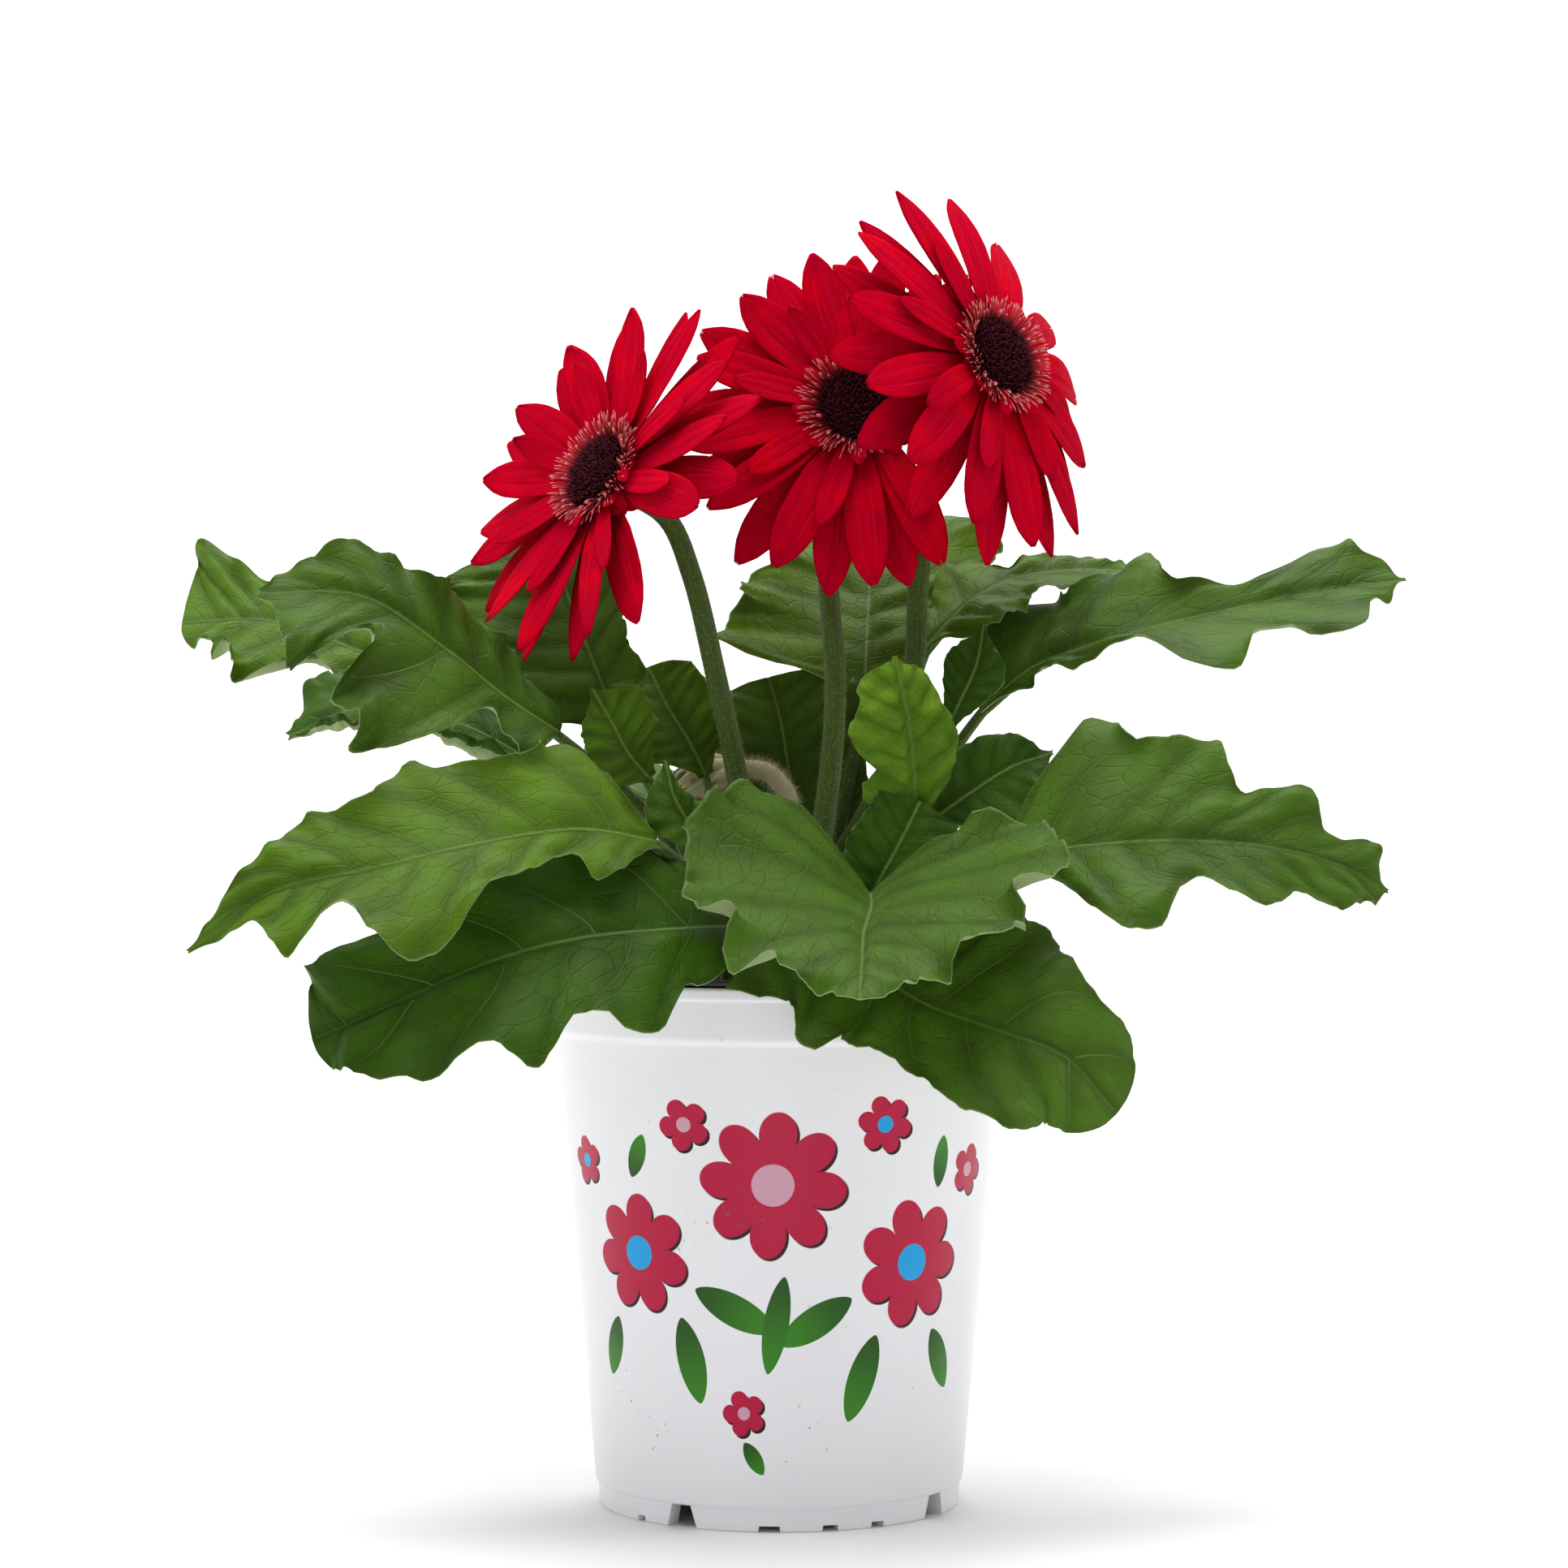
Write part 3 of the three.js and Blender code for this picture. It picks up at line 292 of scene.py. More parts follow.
# count: rays in the layer. rise: how far they stand up, in degrees. base: height of their foot.
# length: share of the head's ray length. width: half the width of a ray.
RAY_LAYERS = [
    {"count": 13, "rise": 0, "base": 1.2, "length": 1, "width": 8},
    {"count": 13, "rise": 8, "base": 2.6, "length": 0.94, "width": 7.6},
    {"count": 8, "rise": 15, "base": 3.9, "length": 0.62, "width": 5.2},
]
SHORT_INNER_RAYS = {"count": 9, "rise": 34, "base": 5.4, "length": 0.22, "width": 3}
# a ray's width along it, as [percent of its length, percent of the widest]
RAY_OUTLINE = [[0, 36], [12, 58], [30, 87], [50, 99], [64, 100], [78, 89], [88, 66], [95, 38], [100, 11]]
BUD = {
    "foot": [15.5, 152], "centre": [-25, 17, 256], "facing": [-0.87, -0.3, -0.4],
    "length": 19, "radius": 9.5, "neck": [[-12, 10, 205], [-3, 14, 229], [4, 15, 246], [-4, 17, 258]],
}
# disc: radius of the disc. ring: outer radius of the ring that carries the rays, and thick its height.
# cup: height of the green cup. back: from the head's centre back to the top of the cup.
HEAD = {"disc": 13.5, "ring": 15, "thick": 4.6, "cup": 12, "back": 6}
# top, base: outer radii. foot, band: heights of the foot ring and of the raised band, which stands out
# by proud.
POT = {"height": 185.5, "top": 82.5, "base": 65, "wall": 1.4, "foot": 8, "band": 19.5, "proud": 1.1}
# as [azimuth, width in degrees]: gaps between the four feet, and low notches in them
FOOT_GAPS = [[-121.5, 11], [-32.5, 11], [57.5, 11], [147.5, 11]]
FOOT_NOTCHES = [[-93, 7], [-74, 5.5], [-58, 5], [-138, 4], [12, 6], [103, 6]]
# out: how far the drain holes lie from the pot's middle.
DRAIN = {"out": 38, "radius": 5, "azimuths": [45, 135, 225, 315]}
# top, floor: levels above the ground. rim, lip: width and thickness of the rim. gap: to the white pot.
LINER = {"wall": 1, "top": 188, "rim": 3.4, "lip": 2, "floor": 14, "gap": 0.8}
SOIL_TOP = 171
CROWN = {"radius": 31, "bottom": 163, "top": 177}
STALK_FOOT = 166  # level at which every stalk begins, in its socket of the crown
UPRIGHT = 14  # length over which a stalk stands upright there
FIT = 0.3  # gap between pieces that sit in one another
# radius: of one hair. lean: at random, in radians. per_cm2: hairs on a square centimetre.
STALK_HAIR = {"radius": 0.05, "lean": 0.6}
CROWN_WOOL = {"per_cm2": 110, "radius": 0.07, "lean": 0.9}
BUD_WOOL = {"per_cm2": 260, "radius": 0.06, "lean": 1.0}

# ------------------------------------------------------------------ fineness and units
# rows, half: points along a blade and across one half. radius, steps, sides: of the stalk and its mesh.
# quilting: share of the full height between side veins. swell: height of the broad swellings.
LARGE_LEAF = {"rows": 92, "half": 17, "radius": 2.8, "steps": 34, "sides": 14, "quilting": 1, "swell": 1.3}
SMALL_LEAF = {"rows": 44, "half": 9, "radius": 2.0, "steps": 26, "sides": 10, "quilting": 0.4, "swell": 0.4}
TIP_CROWDING = 1.25  # above 1, a blade's rows lie closer together towards its tip
EDGE_CROWDING = 1.35  # likewise, towards its margins
METRE = 0.001
PER_CM2 = 1e4  # a number on a square centimetre, as one on a square metre

# ------------------------------------------------------------------ print and stage, in metres
# each blossom: place round the pot and height, radius, petals, turn, eye
BLOSSOMS = [
    (-0.053, 0.094, 0.0205, 7, 0.3, "blue"), (-0.002, 0.119, 0.025, 8, 0.1, "pink"),
    (0.050, 0.091, 0.022, 7, 0.9, "blue"), (-0.032, 0.139, 0.009, 5, 0.5, "pink"),
    (0.036, 0.139, 0.010, 6, 0.2, "blue"), (0.077, 0.121, 0.009, 5, 0.0, "pink"),
    (-0.079, 0.124, 0.0085, 5, 0.8, "blue"), (-0.013, 0.041, 0.008, 5, 0.6, "pink"),
]
# each leaf: place of its foot round the pot and height, angle, length, width
LEAFLETS = [
    (-0.030, 0.083, -0.45, 0.032, 0.0055), (-0.036, 0.073, -1.35, 0.030, 0.0055),
    (0.026, 0.080, -2.6, 0.030, 0.0055), (0.036, 0.067, -1.9, 0.031, 0.0055),
    (0.002, 0.088, -1.75, 0.034, 0.0045), (0.062, 0.067, -1.1, 0.024, 0.005),
    (-0.066, 0.071, -1.9, 0.022, 0.0045), (-0.054, 0.120, 1.2, 0.016, 0.0035),
    (0.060, 0.116, 1.5, 0.018, 0.0035), (-0.013, 0.031, -1.0, 0.013, 0.003),
]
PRINT_RADIUS = 0.074  # mean radius of the printed wall
PRINT_SHADOW = 0.0009  # how far each blossom's dark edge is shifted
# reach: half its length and width. bend: where it begins to curve up, with that radius, to that height.
FLOOR = {"reach": 9.0, "bend": 2.2, "radius": 1.0, "height": 4.0}
LIGHTS = {  # place, what it shines on, size, watts
    "key light": ((-0.65, -0.85, 2.2), (0, 0, 0.25), 1.0, 17),
    "left light": ((-1.7, 0.1, 0.7), (0, 0, 0.15), 1.0, 7.5),
    "right light": ((1.7, 0.0, 0.7), (0, 0, 0.15), 1.0, 7),
    "top light": ((0.1, 0.0, 2.2), (0, 0, 0.25), 1.4, 28),
    "bounce light": ((0.0, -0.5, 0.02), (0, 0, 0.03), 0.3, 0.3),
    "backdrop light": ((0.0, 1.3, 2.4), (0, 3.2, 0.5), 1.6, 65),
}
ROOM_LIGHT = 0.3
CAMERA = {"place": (0.0017, -1.39, 0.254), "lens": 89.81, "sensor": 36, "far": 50}


# ------------------------------------------------------------------ sizes and colours a user may change
def length(name, description, default, **limits):
    return bpy.props.FloatProperty(
        name=name, description=description, default=default, unit="LENGTH", precision=5, **limits)


def colour(name, description, default):
    return bpy.props.FloatVectorProperty(
        name=name, description=description, default=default, subtype="COLOR", min=0, max=1)


def count(name, description, default):
    return bpy.props.IntProperty(name=name, description=description, default=default, min=1)


class GerberaSizes(bpy.types.PropertyGroup):
    blade: length("Blade", "Thickness of a leaf blade", 0.0008, min=0.0004, max=0.002)
    quilting: length("Quilting", "Height of the leaf between its side veins", 0.0016, min=0, max=0.004)
    ray: length("Ray", "Thickness of a red ray", 0.0005, min=0.0003, max=0.0015)
    hair: length("Hair", "Length of the fine hairs on the stalks", 0.0014, min=0.0002, max=0.004)
    wool: length("Wool", "Length of the wool on the crown and the bud", 0.0034, min=0.001, max=0.01)
    hairs_per_cm2: count("Hairs", "Hairs on a square centimetre of stalk", 90)
    filaments: count("Filaments", "Filaments in one row of the fringe round a disc", 78)
    florets: count("Florets", "Closed florets on one disc", 420)
    bracts: count("Bracts", "Green bracts in one row of a flower's cup", 15)
    grains: bpy.props.FloatProperty(
        name="Grains", description="Crumbs on a square centimetre of soil", default=8.8, min=0)


class GerberaColours(bpy.types.PropertyGroup):
    # the youngest leaf's green is lighter partly because it is young and partly as painted light, against the
    # shade the flowers above cast on it
    leaf_young: colour("Youngest leaf", "Upper face of the crumpled leaf at the front", (0.118, 0.235, 0.012))
    leaf_fresh: colour("Young leaf", "Upper face of the bright leaves", (0.06, 0.13, 0.004))
    leaf_mid: colour("Leaf", "Upper face of the leaves between", (0.046, 0.105, 0.006))
    leaf_dark: colour("Old leaf", "Upper face of the darkest leaves", (0.028, 0.08, 0.002))
    leaf_vein: colour("Vein", "Veins of the upper face", (0.19, 0.32, 0.06))
    leaf_felt: colour("Felt", "Felted underside of the leaves", (0.25, 0.33, 0.13))
    stalk: colour("Stalk", "Leaf stalks and bare flower stalks", (0.072, 0.135, 0.008))
    hair: colour("Hair", "Fine hairs on the stalks", (0.3, 0.38, 0.14))
    ray_red: colour("Ray", "Upper face of the rays", (0.6, 0.0, 0.019))
    ray_vein: colour("Ray vein", "Lengthwise veins and margins of the rays", (0.6, 0.02, 0.08))
    ray_back: colour("Ray back", "Underside of the rays", (0.42, 0.0, 0.018))
    disc: colour("Disc", "Closed florets", (0.009, 0.0, 0.001))
    filament: colour("Filament", "Tips of the fringe round the disc", (0.55, 0.045, 0.055))
    pot: colour("Pot", "White outer pot", (0.85, 0.845, 0.885))
    liner: colour("Inner pot", "Dark inner pot", (0.011, 0.012, 0.022))
    soil: colour("Soil", "Damp potting soil", (0.03, 0.017, 0.009))
    wool: colour("Wool", "Wool on the crown and the bud", (0.66, 0.61, 0.37))
    print_rose: colour("Print rose", "Petals of the printed blossoms", (0.46, 0.001, 0.042))
    print_blue: colour("Print blue", "Eyes of the large printed blossoms", (0.003, 0.34, 0.74))
    print_pink: colour("Print pink", "Eyes of the small printed blossoms", (0.6, 0.33, 0.43))
    print_green: colour("Print green", "Printed leaves", (0.035, 0.22, 0.005))


def sizes():
    return bpy.context.scene.gerbera_sizes


def colours():
    return bpy.context.scene.gerbera_colours


# ------------------------------------------------------------------ curves and meshes, in millimetres
def smoothstep(x):
    x = np.clip(x, 0, 1)
    return x * x * (3 - 2 * x)


def lerp(ends, t):
    return ends[0] + (ends[1] - ends[0]) * t


def catmull(points, places):
    """Points of a centripetal Catmull-Rom curve, at places from 0 to 1."""
    p = np.asarray(points, float)
    p = np.vstack([2 * p[0] - p[1], p, 2 * p[-1] - p[-2]])
    segments = len(p) - 3
    along = np.clip(np.asarray(places, float), 0, 1) * segments
    i = np.minimum(along.astype(int), segments - 1)
    w = (along - i)[:, None]
    a, b, c, d = (p[i + k] for k in range(4))
    before, here, after = (
        np.maximum(np.linalg.norm(v, axis=1) ** 0.5, 1e-4)[:, None] for v in (b - a, c - b, d - c))
    start = ((b - a) / before - (c - a) / (before + here) + (c - b) / here) * here
    end = ((c - b) / here - (d - b) / (here + after) + (d - c) / after) * here
    return b + start * w + (3 * (c - b) - 2 * start - end) * w**2 + (2 * (b - c) + start + end) * w**3


def unit(v):
    return v / np.linalg.norm(v, axis=-1, keepdims=True)


def run_along(points):
    """How far along the line each of its points lies."""
    return np.r_[0, np.cumsum(np.linalg.norm(np.diff(points, axis=0), axis=1))]


def spaced(points, steps):
    """Evenly spaced points along the curve."""
    fine = catmull(points, np.linspace(0, 1, 400))
    run = run_along(fine)
    wanted = np.linspace(0, run[-1], steps + 1)
    return np.column_stack([np.interp(wanted, run, fine[:, k]) for k in range(3)])


def foot_points(foot):
    """Both ends of the upright stretch with which a stalk stands in the crown."""
    distance, azimuth = foot
    x, y = distance * math.cos(math.radians(azimuth)), distance * math.sin(math.radians(azimuth))
    return [[x, y, STALK_FOOT], [x, y, STALK_FOOT + UPRIGHT]]


def grid(*parts):
    """Arrays of x, y and z, spread over each other's shape, as one list of points."""
    return np.stack(np.broadcast_arrays(*parts), -1).reshape(-1, 3)


def moved(points, matrix):
    return points @ np.array(matrix.to_3x3()).T + np.array(matrix.translation)


class Shape:
    """Points and faces of one piece. place is a vector of three numbers for the finish of each point,
    hairy says how thickly it is haired, and edge how near a blade's margin it lies."""

    def __init__(self):
        self.points, self.faces, self.finishes, self.places, self.hairy = [], [], [], [], []
        self.edges, self.total = [], 0

    def add(self, points, faces, finish=0, place=(0, 0, 0), hairy=0.0, edge=0.0):
        points = np.asarray(points, float).reshape(-1, 3)
        self.points.append(points)
        self.places.append(np.broadcast_to(np.asarray(place, float), points.shape))
        self.hairy.append(np.broadcast_to(np.asarray(hairy, float), len(points)))
        self.edges.append(np.broadcast_to(np.asarray(edge, float), len(points)))
        finish = np.broadcast_to(finish, len(faces))
        for face, which in zip(faces, finish):
            self.faces.append([int(v) + self.total for v in face])
            self.finishes.append(int(which))
        self.total += len(points)

    def build(self, title, materials, sharp=None):
        mesh = bpy.data.meshes.new(title)
        points = np.vstack(self.points) * METRE
        mesh.from_pydata(points.tolist(), [], self.faces)
        for material in materials:
            mesh.materials.append(material)
        mesh.polygons.foreach_set("material_index", self.finishes)
        place = mesh.attributes.new("place", "FLOAT_VECTOR", "POINT")
        place.data.foreach_set("vector", np.vstack(self.places).astype(np.float32).ravel())
        for name, values in (("hairy", self.hairy), ("edge", self.edges)):
            attribute = mesh.attributes.new(name, "FLOAT", "POINT")
            attribute.data.foreach_set("value", np.concatenate(values).astype(np.float32))
        mesh.shade_smooth()
        if sharp:
            mesh.set_sharp_from_angle(angle=math.radians(sharp))
        mesh.validate()
        return linked(title, mesh)


def slab_faces(rows, columns):
    """Closed skin over an upper grid and a lower grid with the same rows and columns. Returns the
    faces and, for each, 0 if it belongs to the upper side or 1."""
    low = rows * columns
    faces, side = [], []

    def put(face, which):
        faces.append(face)
        side.append(which)

    for i in range(rows - 1):
        for j in range(columns - 1):
            a = i * columns + j
            put((a, a + 1, a + 1 + columns, a + columns), 0)
            put((low + a, low + a + columns, low + a + 1 + columns, low + a + 1), 1)
        left, right = i * columns, i * columns + columns - 1
        put((left, left + columns, low + left + columns, low + left), 1)
        put((right + columns, right, low + right, low + right + columns), 1)
    for j in range(columns - 1):
        end = (rows - 1) * columns + j
        put((j + 1, j, low + j, low + j + 1), 1)
        put((end, end + 1, low + end + 1, low + end), 1)
    return faces, side


def tube(shape, centres, radii, sides, up, finish=0, hairy=0.0, groove=0.0, share=False):
    """Round bar along the centres, with an optional groove on the side that looks up. The finish reads
    how far along it is, in millimetres or as a share of its length, and the angle round it."""
    centres, radii = np.asarray(centres, float), np.asarray(radii, float)
    tangent = unit(np.gradient(centres, axis=0))
    across = unit(np.cross(tangent, np.asarray(up, float)))
    top = np.cross(across, tangent)
    run = run_along(centres)
    angle = np.arange(sides) * 2 * math.pi / sides
    depth = 1 - groove * np.exp(-((np.minimum(angle, 2 * math.pi - angle) / 0.55) ** 2))
    out = np.cos(angle)[:, None] * top[:, None] - np.sin(angle)[:, None] * across[:, None]
    points = centres[:, None] + out * (radii[:, None] * depth)[..., None]
    faces = []
    for i in range(len(centres) - 1):
        for j in range(sides):
            a, b = i * sides + j, i * sides + (j + 1) % sides
            faces.append((a, a + sides, b + sides, b))
    end = (len(centres) - 1) * sides
    faces.append(tuple(range(sides)))
    faces.append(tuple(end + j for j in reversed(range(sides))))
    far = run / run[-1] if share else run
    hairs = np.repeat(np.broadcast_to(hairy, len(centres)), sides)
    shape.add(points, faces, finish, grid(far[:, None], angle[None], 0.0), hairs)


def lathe(shape, profile, sides, finish=0, hairy=0.0, matrix=None):
    """Turned body from [radius, height] pairs. A radius of 0 closes to a single point. The finish reads
    the share of its height, and the angle round it."""
    angle = np.arange(sides) * 2 * math.pi / sides
    rings, starts = [], []
    total = 0
    for radius, height in profile:
        starts.append(total)
        if radius == 0:
            rings.append(np.array([[0, 0, height]], float))
        else:
            rings.append(np.column_stack(
                [radius * np.cos(angle), radius * np.sin(angle), np.full(sides, float(height))]))
        total += len(rings[-1])
    faces = []
    for i in range(len(profile) - 1):
        a, b = starts[i], starts[i + 1]
        for j in range(sides):
            k = (j + 1) % sides
            if profile[i][0] == 0:
                faces.append((a, b + k, b + j))
            elif profile[i + 1][0] == 0:
                faces.append((a + j, a + k, b))
            else:
                faces.append((a + j, a + k, b + k, b + j))
    if profile[0][0] != 0:
        last = starts[-1]
        faces += [(last + j, last + (j + 1) % sides, (j + 1) % sides, j) for j in range(sides)]
    points = np.vstack(rings)
    x, y, z = points.T
    place = grid((z - z.min()) / (z.max() - z.min()), np.arctan2(y, x), 0.0)
    shape.add(points if matrix is None else moved(points, matrix), faces, finish, place, hairy)


def placed(centre, facing):
    """Frame at centre whose +Z looks along facing."""
    turn = Vector((0, 0, 1)).rotation_difference(Vector(facing).normalized())
    return Matrix.Translation(Vector(centre)) @ turn.to_matrix().to_4x4()


def rounded(profile, radius, steps=4):
    """The same profile with its inner corners rounded, each as far as its sides allow."""
    points = [np.array(p, float) for p in profile]
    out = [points[0]]
    for before, here, after in zip(points, points[1:], points[2:]):
        a, b = before - here, after - here
        reach = min(radius, 0.45 * np.linalg.norm(a), 0.45 * np.linalg.norm(b))
        start, end = here + unit(a) * reach, here + unit(b) * reach
        for k in range(steps + 1):
            t = k / steps
            out.append((1 - t) ** 2 * start + 2 * t * (1 - t) * here + t * t * end)
    out.append(points[-1])
    return [(max(0.0, float(r)), float(h)) for r, h in out]


# ------------------------------------------------------------------ leaves
def half_width(places, t, blunt):
    """Width from midrib to margin; a blunt leaf ends in a round tip, the rounder the lower its number."""
    at, width = np.array(places, float).T
    i = np.clip(np.searchsorted(at, 100 * t, side="left"), 1, len(at) - 1)
    share = np.clip((100 * t - at[i - 1]) / (at[i] - at[i - 1]), 0, 1)
    eased = smoothstep(share)
    if blunt:
        eased = np.where(i == len(at) - 1, 1 - (1 - share**2) ** blunt, eased)
    return width[i - 1] + (width[i] - width[i - 1]) * eased


def vein_ends(places):
    """Where side veins reach the margin: at its widest places, and between those that lie far apart."""
    ends = [8]
    peaks = [b[0] for a, b, c in zip(places, places[1:], places[2:]) if b[1] >= max(a[1], c[1])]
    for at in peaks + [96]:
        missing = int((at - ends[-1]) / 17)
        ends += [ends[-1] + (at - ends[-1]) * (k + 1) / (missing + 1) for k in range(missing)]
        if at - ends[-1] > 6:
            ends.append(at)
    return ends


def averaged(values, reach):
    """Each value's mean with its neighbours, reach of them on each side."""
    around = 2 * reach + 1
    return np.convolve(np.pad(values, reach, mode="edge"), np.full(around, 1 / around), "valid")


def margin(leaf, t, side, rng):
    """Width of one half at each place, with its small lobes, and how far its edge rolls up."""
    width = half_width(leaf[side], t, leaf.get("blunt", 0))
    lobes, depth = leaf.get("scallop", (0, 0))
    if lobes:
        width = width * (1 - depth * (0.5 - 0.5 * np.cos(2 * math.pi * (lobes * t + rng.random()))))
    if "soften" in leaf:
        width = averaged(width, leaf["soften"])
    for waves in (9, 17, 31):
        width = width * (1 + 0.1 / waves**0.75 * np.sin(2 * math.pi * (waves * t + rng.random())))
    around = averaged(width, max(3, len(t) // 14))
    bump = np.clip((width - around) / (0.09 * max(w for _, w in leaf[side])), -1, 1)
    roll = np.where(bump < 0, -1.25 * bump, -0.5 * bump) * leaf.get("curl", 1)
    roll = roll + 0.35 * np.sin(2 * math.pi * (5 * t + rng.random())) + leaf.get("roll", {}).get(side, 0)
    return width, roll * smoothstep(t / 0.08) * smoothstep((1 - t) / (0.3 if leaf.get("blunt") else 0.06))


def grade(leaf):
    return SMALL_LEAF if leaf.get("small") else LARGE_LEAF


def midrib(leaf, t):
    """Points of the midrib, and there the directions along it, to the right and up from the blade."""
    step = 1e-3
    before, centre, after = (catmull(leaf["rib"], at) for at in (np.maximum(t - step, 0), t,
                                                                 np.minimum(t + step, 1)))
    along = unit(after - before)
    right = unit(np.cross(along, unit(np.array(leaf["up"], float))))
    return centre, along, right, np.cross(right, along)


def halves(leaf, t, s, rng):
    """Over the whole blade: the width of its half, the roll of its margin and the side veins' phase."""
    wide, roll, phase = (np.zeros((t.size, s.size)) for _ in range(3))
    for side, picked in (("left", s[0] < 0), ("right", s[0] >= 0)):
        width, rolled = margin(leaf, t, side, rng)
        wide[:, picked], roll[:, picked] = width[:, None], rolled[:, None]
        ends = vein_ends(leaf[side])
        reached = 100 * (t[:, None] + 0.11 * (1 - np.abs(s)[:, picked] ** 1.4))
        phase[:, picked] = np.interp(reached, [-20] + ends + [120], np.arange(-1, len(ends) + 1))
    return wide, roll, phase


def ease(t):
    """1 along most of the midrib, 0 at its ends."""
    return np.minimum(1, np.minimum(6 * t, 6 * (1 - t)))


def between_veins(phase):
    """0 on a side vein, 1 halfway between two."""
    return (0.5 - 0.5 * np.cos(2 * math.pi * phase)) ** 0.6


def waving(leaf, t, s, rng):
    """Height of the broad waves and of the finer frill, both strongest at the margin."""
    waves, height = leaf["wave"]
    wave = height * ease(t) * s**2 * np.sin(2 * math.pi * waves * t + np.sign(s))
    turns = waves * 2.3 * t + rng.random() + 0.3 * np.sign(s)
    frill = np.sin(2 * math.pi * turns) + 0.7 * np.sin(2 * math.pi * (1.63 * turns + 0.2 * np.sign(s)))
    return wave + 0.75 * leaf.get("ruffle", 1.2) * ease(t) * np.abs(s)**3 * frill


def relief(leaf, t, s, run, across, phase, rng):
    """Height of the swelling between the veins, and of the creases there."""
    kind = grade(leaf)
    swell = smoothstep(across / 5) * smoothstep((1 - np.abs(s)) / 0.22) * ease(t)
    cell = np.floor(phase)
    lively = 0.72 + 0.4 * np.sin(5.1 * cell + 2.3 * np.sign(s) + 6 * rng.random())
    quilting = sizes().quilting / METRE * kind["quilting"] * lively
    cross_veins = np.sin(across / 1.7 + 2.4 * np.sin(2 * cell) + 0.9 * np.sin(run / 9))
    height = swell * quilting * between_veins(phase) * (1 + 0.24 * cross_veins)
    broad = np.sin(run / 15 + 2 * np.sign(s) + 6 * rng.random()) * np.sin(across / 11 + 6 * rng.random())
    height = height + swell * kind["swell"] * broad
    height -= 0.7 * np.exp(-((across / 1.8) ** 2)) * (1 - 0.6 * t)
    return height, leaf.get("crumple", 0) * swell * np.sin(across / 2.1 + 3 * phase) * np.cos(run / 3.1)


def blade(shape, leaf, rng):
    """The blade's two faces: folded, waved, quilted between its veins and rolled at its margins."""
    kind = grade(leaf)
    fineness = 1
    rows, half = int(kind["rows"] * fineness), int(kind["half"] * fineness)
    places = 1 - (1 - np.linspace(0, 1, rows)) ** TIP_CROWDING
    out = 1 - (1 - np.linspace(0, 1, half)) ** EDGE_CROWDING
    s = np.r_[-out[::-1], out[1:]][None]
    centre, along, right, normal = midrib(leaf, places)
    wide, roll, phase = halves(leaf, places, s, rng)
    t, far, run = places[:, None], np.abs(s), run_along(centre)[:, None]
    across = wide * far

    lean, fold = (np.radians(lerp(leaf[key], t)) for key in ("lean", "fold"))
    if "blunt" in leaf:
        lean = lean * smoothstep((1 - t) / 0.24)
    if "cup" in leaf:
        cup = np.where(s < 0, leaf["cup"]["left"], leaf["cup"]["right"])
        fold = fold + np.radians(cup) * (1 - smoothstep(t / 0.45))
    strip = leaf.get("strip", 0.24)
    bend = roll * np.clip((far - 1 + strip) / strip, 0, 1)
    turned = np.where(np.abs(bend) > 1e-3, bend, 1e-3)
    inner = np.minimum(far, 1 - strip)
    reach = wide * (inner + (far - inner) * np.sin(turned) / turned)
    lift = wide * (far - inner) * (1 - np.cos(turned)) / turned
    wave = waving(leaf, t, s, rng)
    swollen, creased = relief(leaf, t, s, run, across, phase, rng)
    rise = reach * np.sin(fold) + wave + lift + swollen + creased

    flat = reach * np.cos(fold)
    middle = (centre[:, None] + right[:, None] * np.sign(s)[..., None] * (flat * np.cos(lean))[..., None]
              + along[:, None] * (flat * np.sin(lean))[..., None])
    thick = sizes().blade / METRE * (1 - 0.5 * far**3)
    veins = 1.1 * np.exp(-((across / 1.7) ** 2)) * (1 - t)
    veins = veins + 0.45 * (1 - between_veins(phase)) ** 4 * (1 - far) * ease(t)
    upper = middle + normal[:, None] * (rise + thick / 2)[..., None]
    lower = middle + normal[:, None] * (rise - thick / 2 - veins)[..., None]
    faces, under = slab_faces(*across.shape)
    edge = np.broadcast_to(far, across.shape).ravel()
    shape.add(np.vstack([upper.reshape(-1, 3), lower.reshape(-1, 3)]), faces, np.array(under),
              np.tile(grid(run, across, phase), (2, 1)), edge=np.tile(edge, 2))
    return places, normal


def leaf_stalk(shape, leaf, places, normal):
    """The stalk stands in the crown and runs on under the blade as its midrib."""
    kind = grade(leaf)
    radius = kind["radius"]
    under = np.linspace(0, 0.8, 18)
    thin = 0.6 * radius * (1 - under / 0.86) + 0.2
    rib = catmull(leaf["rib"], under)
    at = np.searchsorted(places, under)
    rib = rib - normal[at] * (thin * 1.02 + 0.1)[:, None]
    bottom, top = foot_points(leaf["foot"])
    stem = spaced([top, *leaf["stalk"], rib[0], rib[1]], kind["steps"])
    stem = stem[np.linalg.norm(stem - rib[1], axis=1) > np.linalg.norm(rib[1] - rib[0])]
    radii = np.r_[np.linspace(radius * 1.15, 0.6 * radius + 0.2, len(stem) + 1), thin]
    hairy = np.r_[np.ones(len(stem) + 1), np.linspace(1, 0.25, len(rib))]
    tube(shape, np.vstack([bottom, stem, rib]), radii, kind["sides"], leaf["up"], finish=2, hairy=hairy,
         groove=0.22)


# ------------------------------------------------------------------ flower heads
def head_frame(flower):
    """Frame of one head: its origin is the top of the green cup, and +Z looks where the head faces."""
    facing = np.array(flower["facing"], float)
    centre = np.array(flower["centre"], float) - HEAD["back"] * unit(facing)
    return placed(centre, facing)


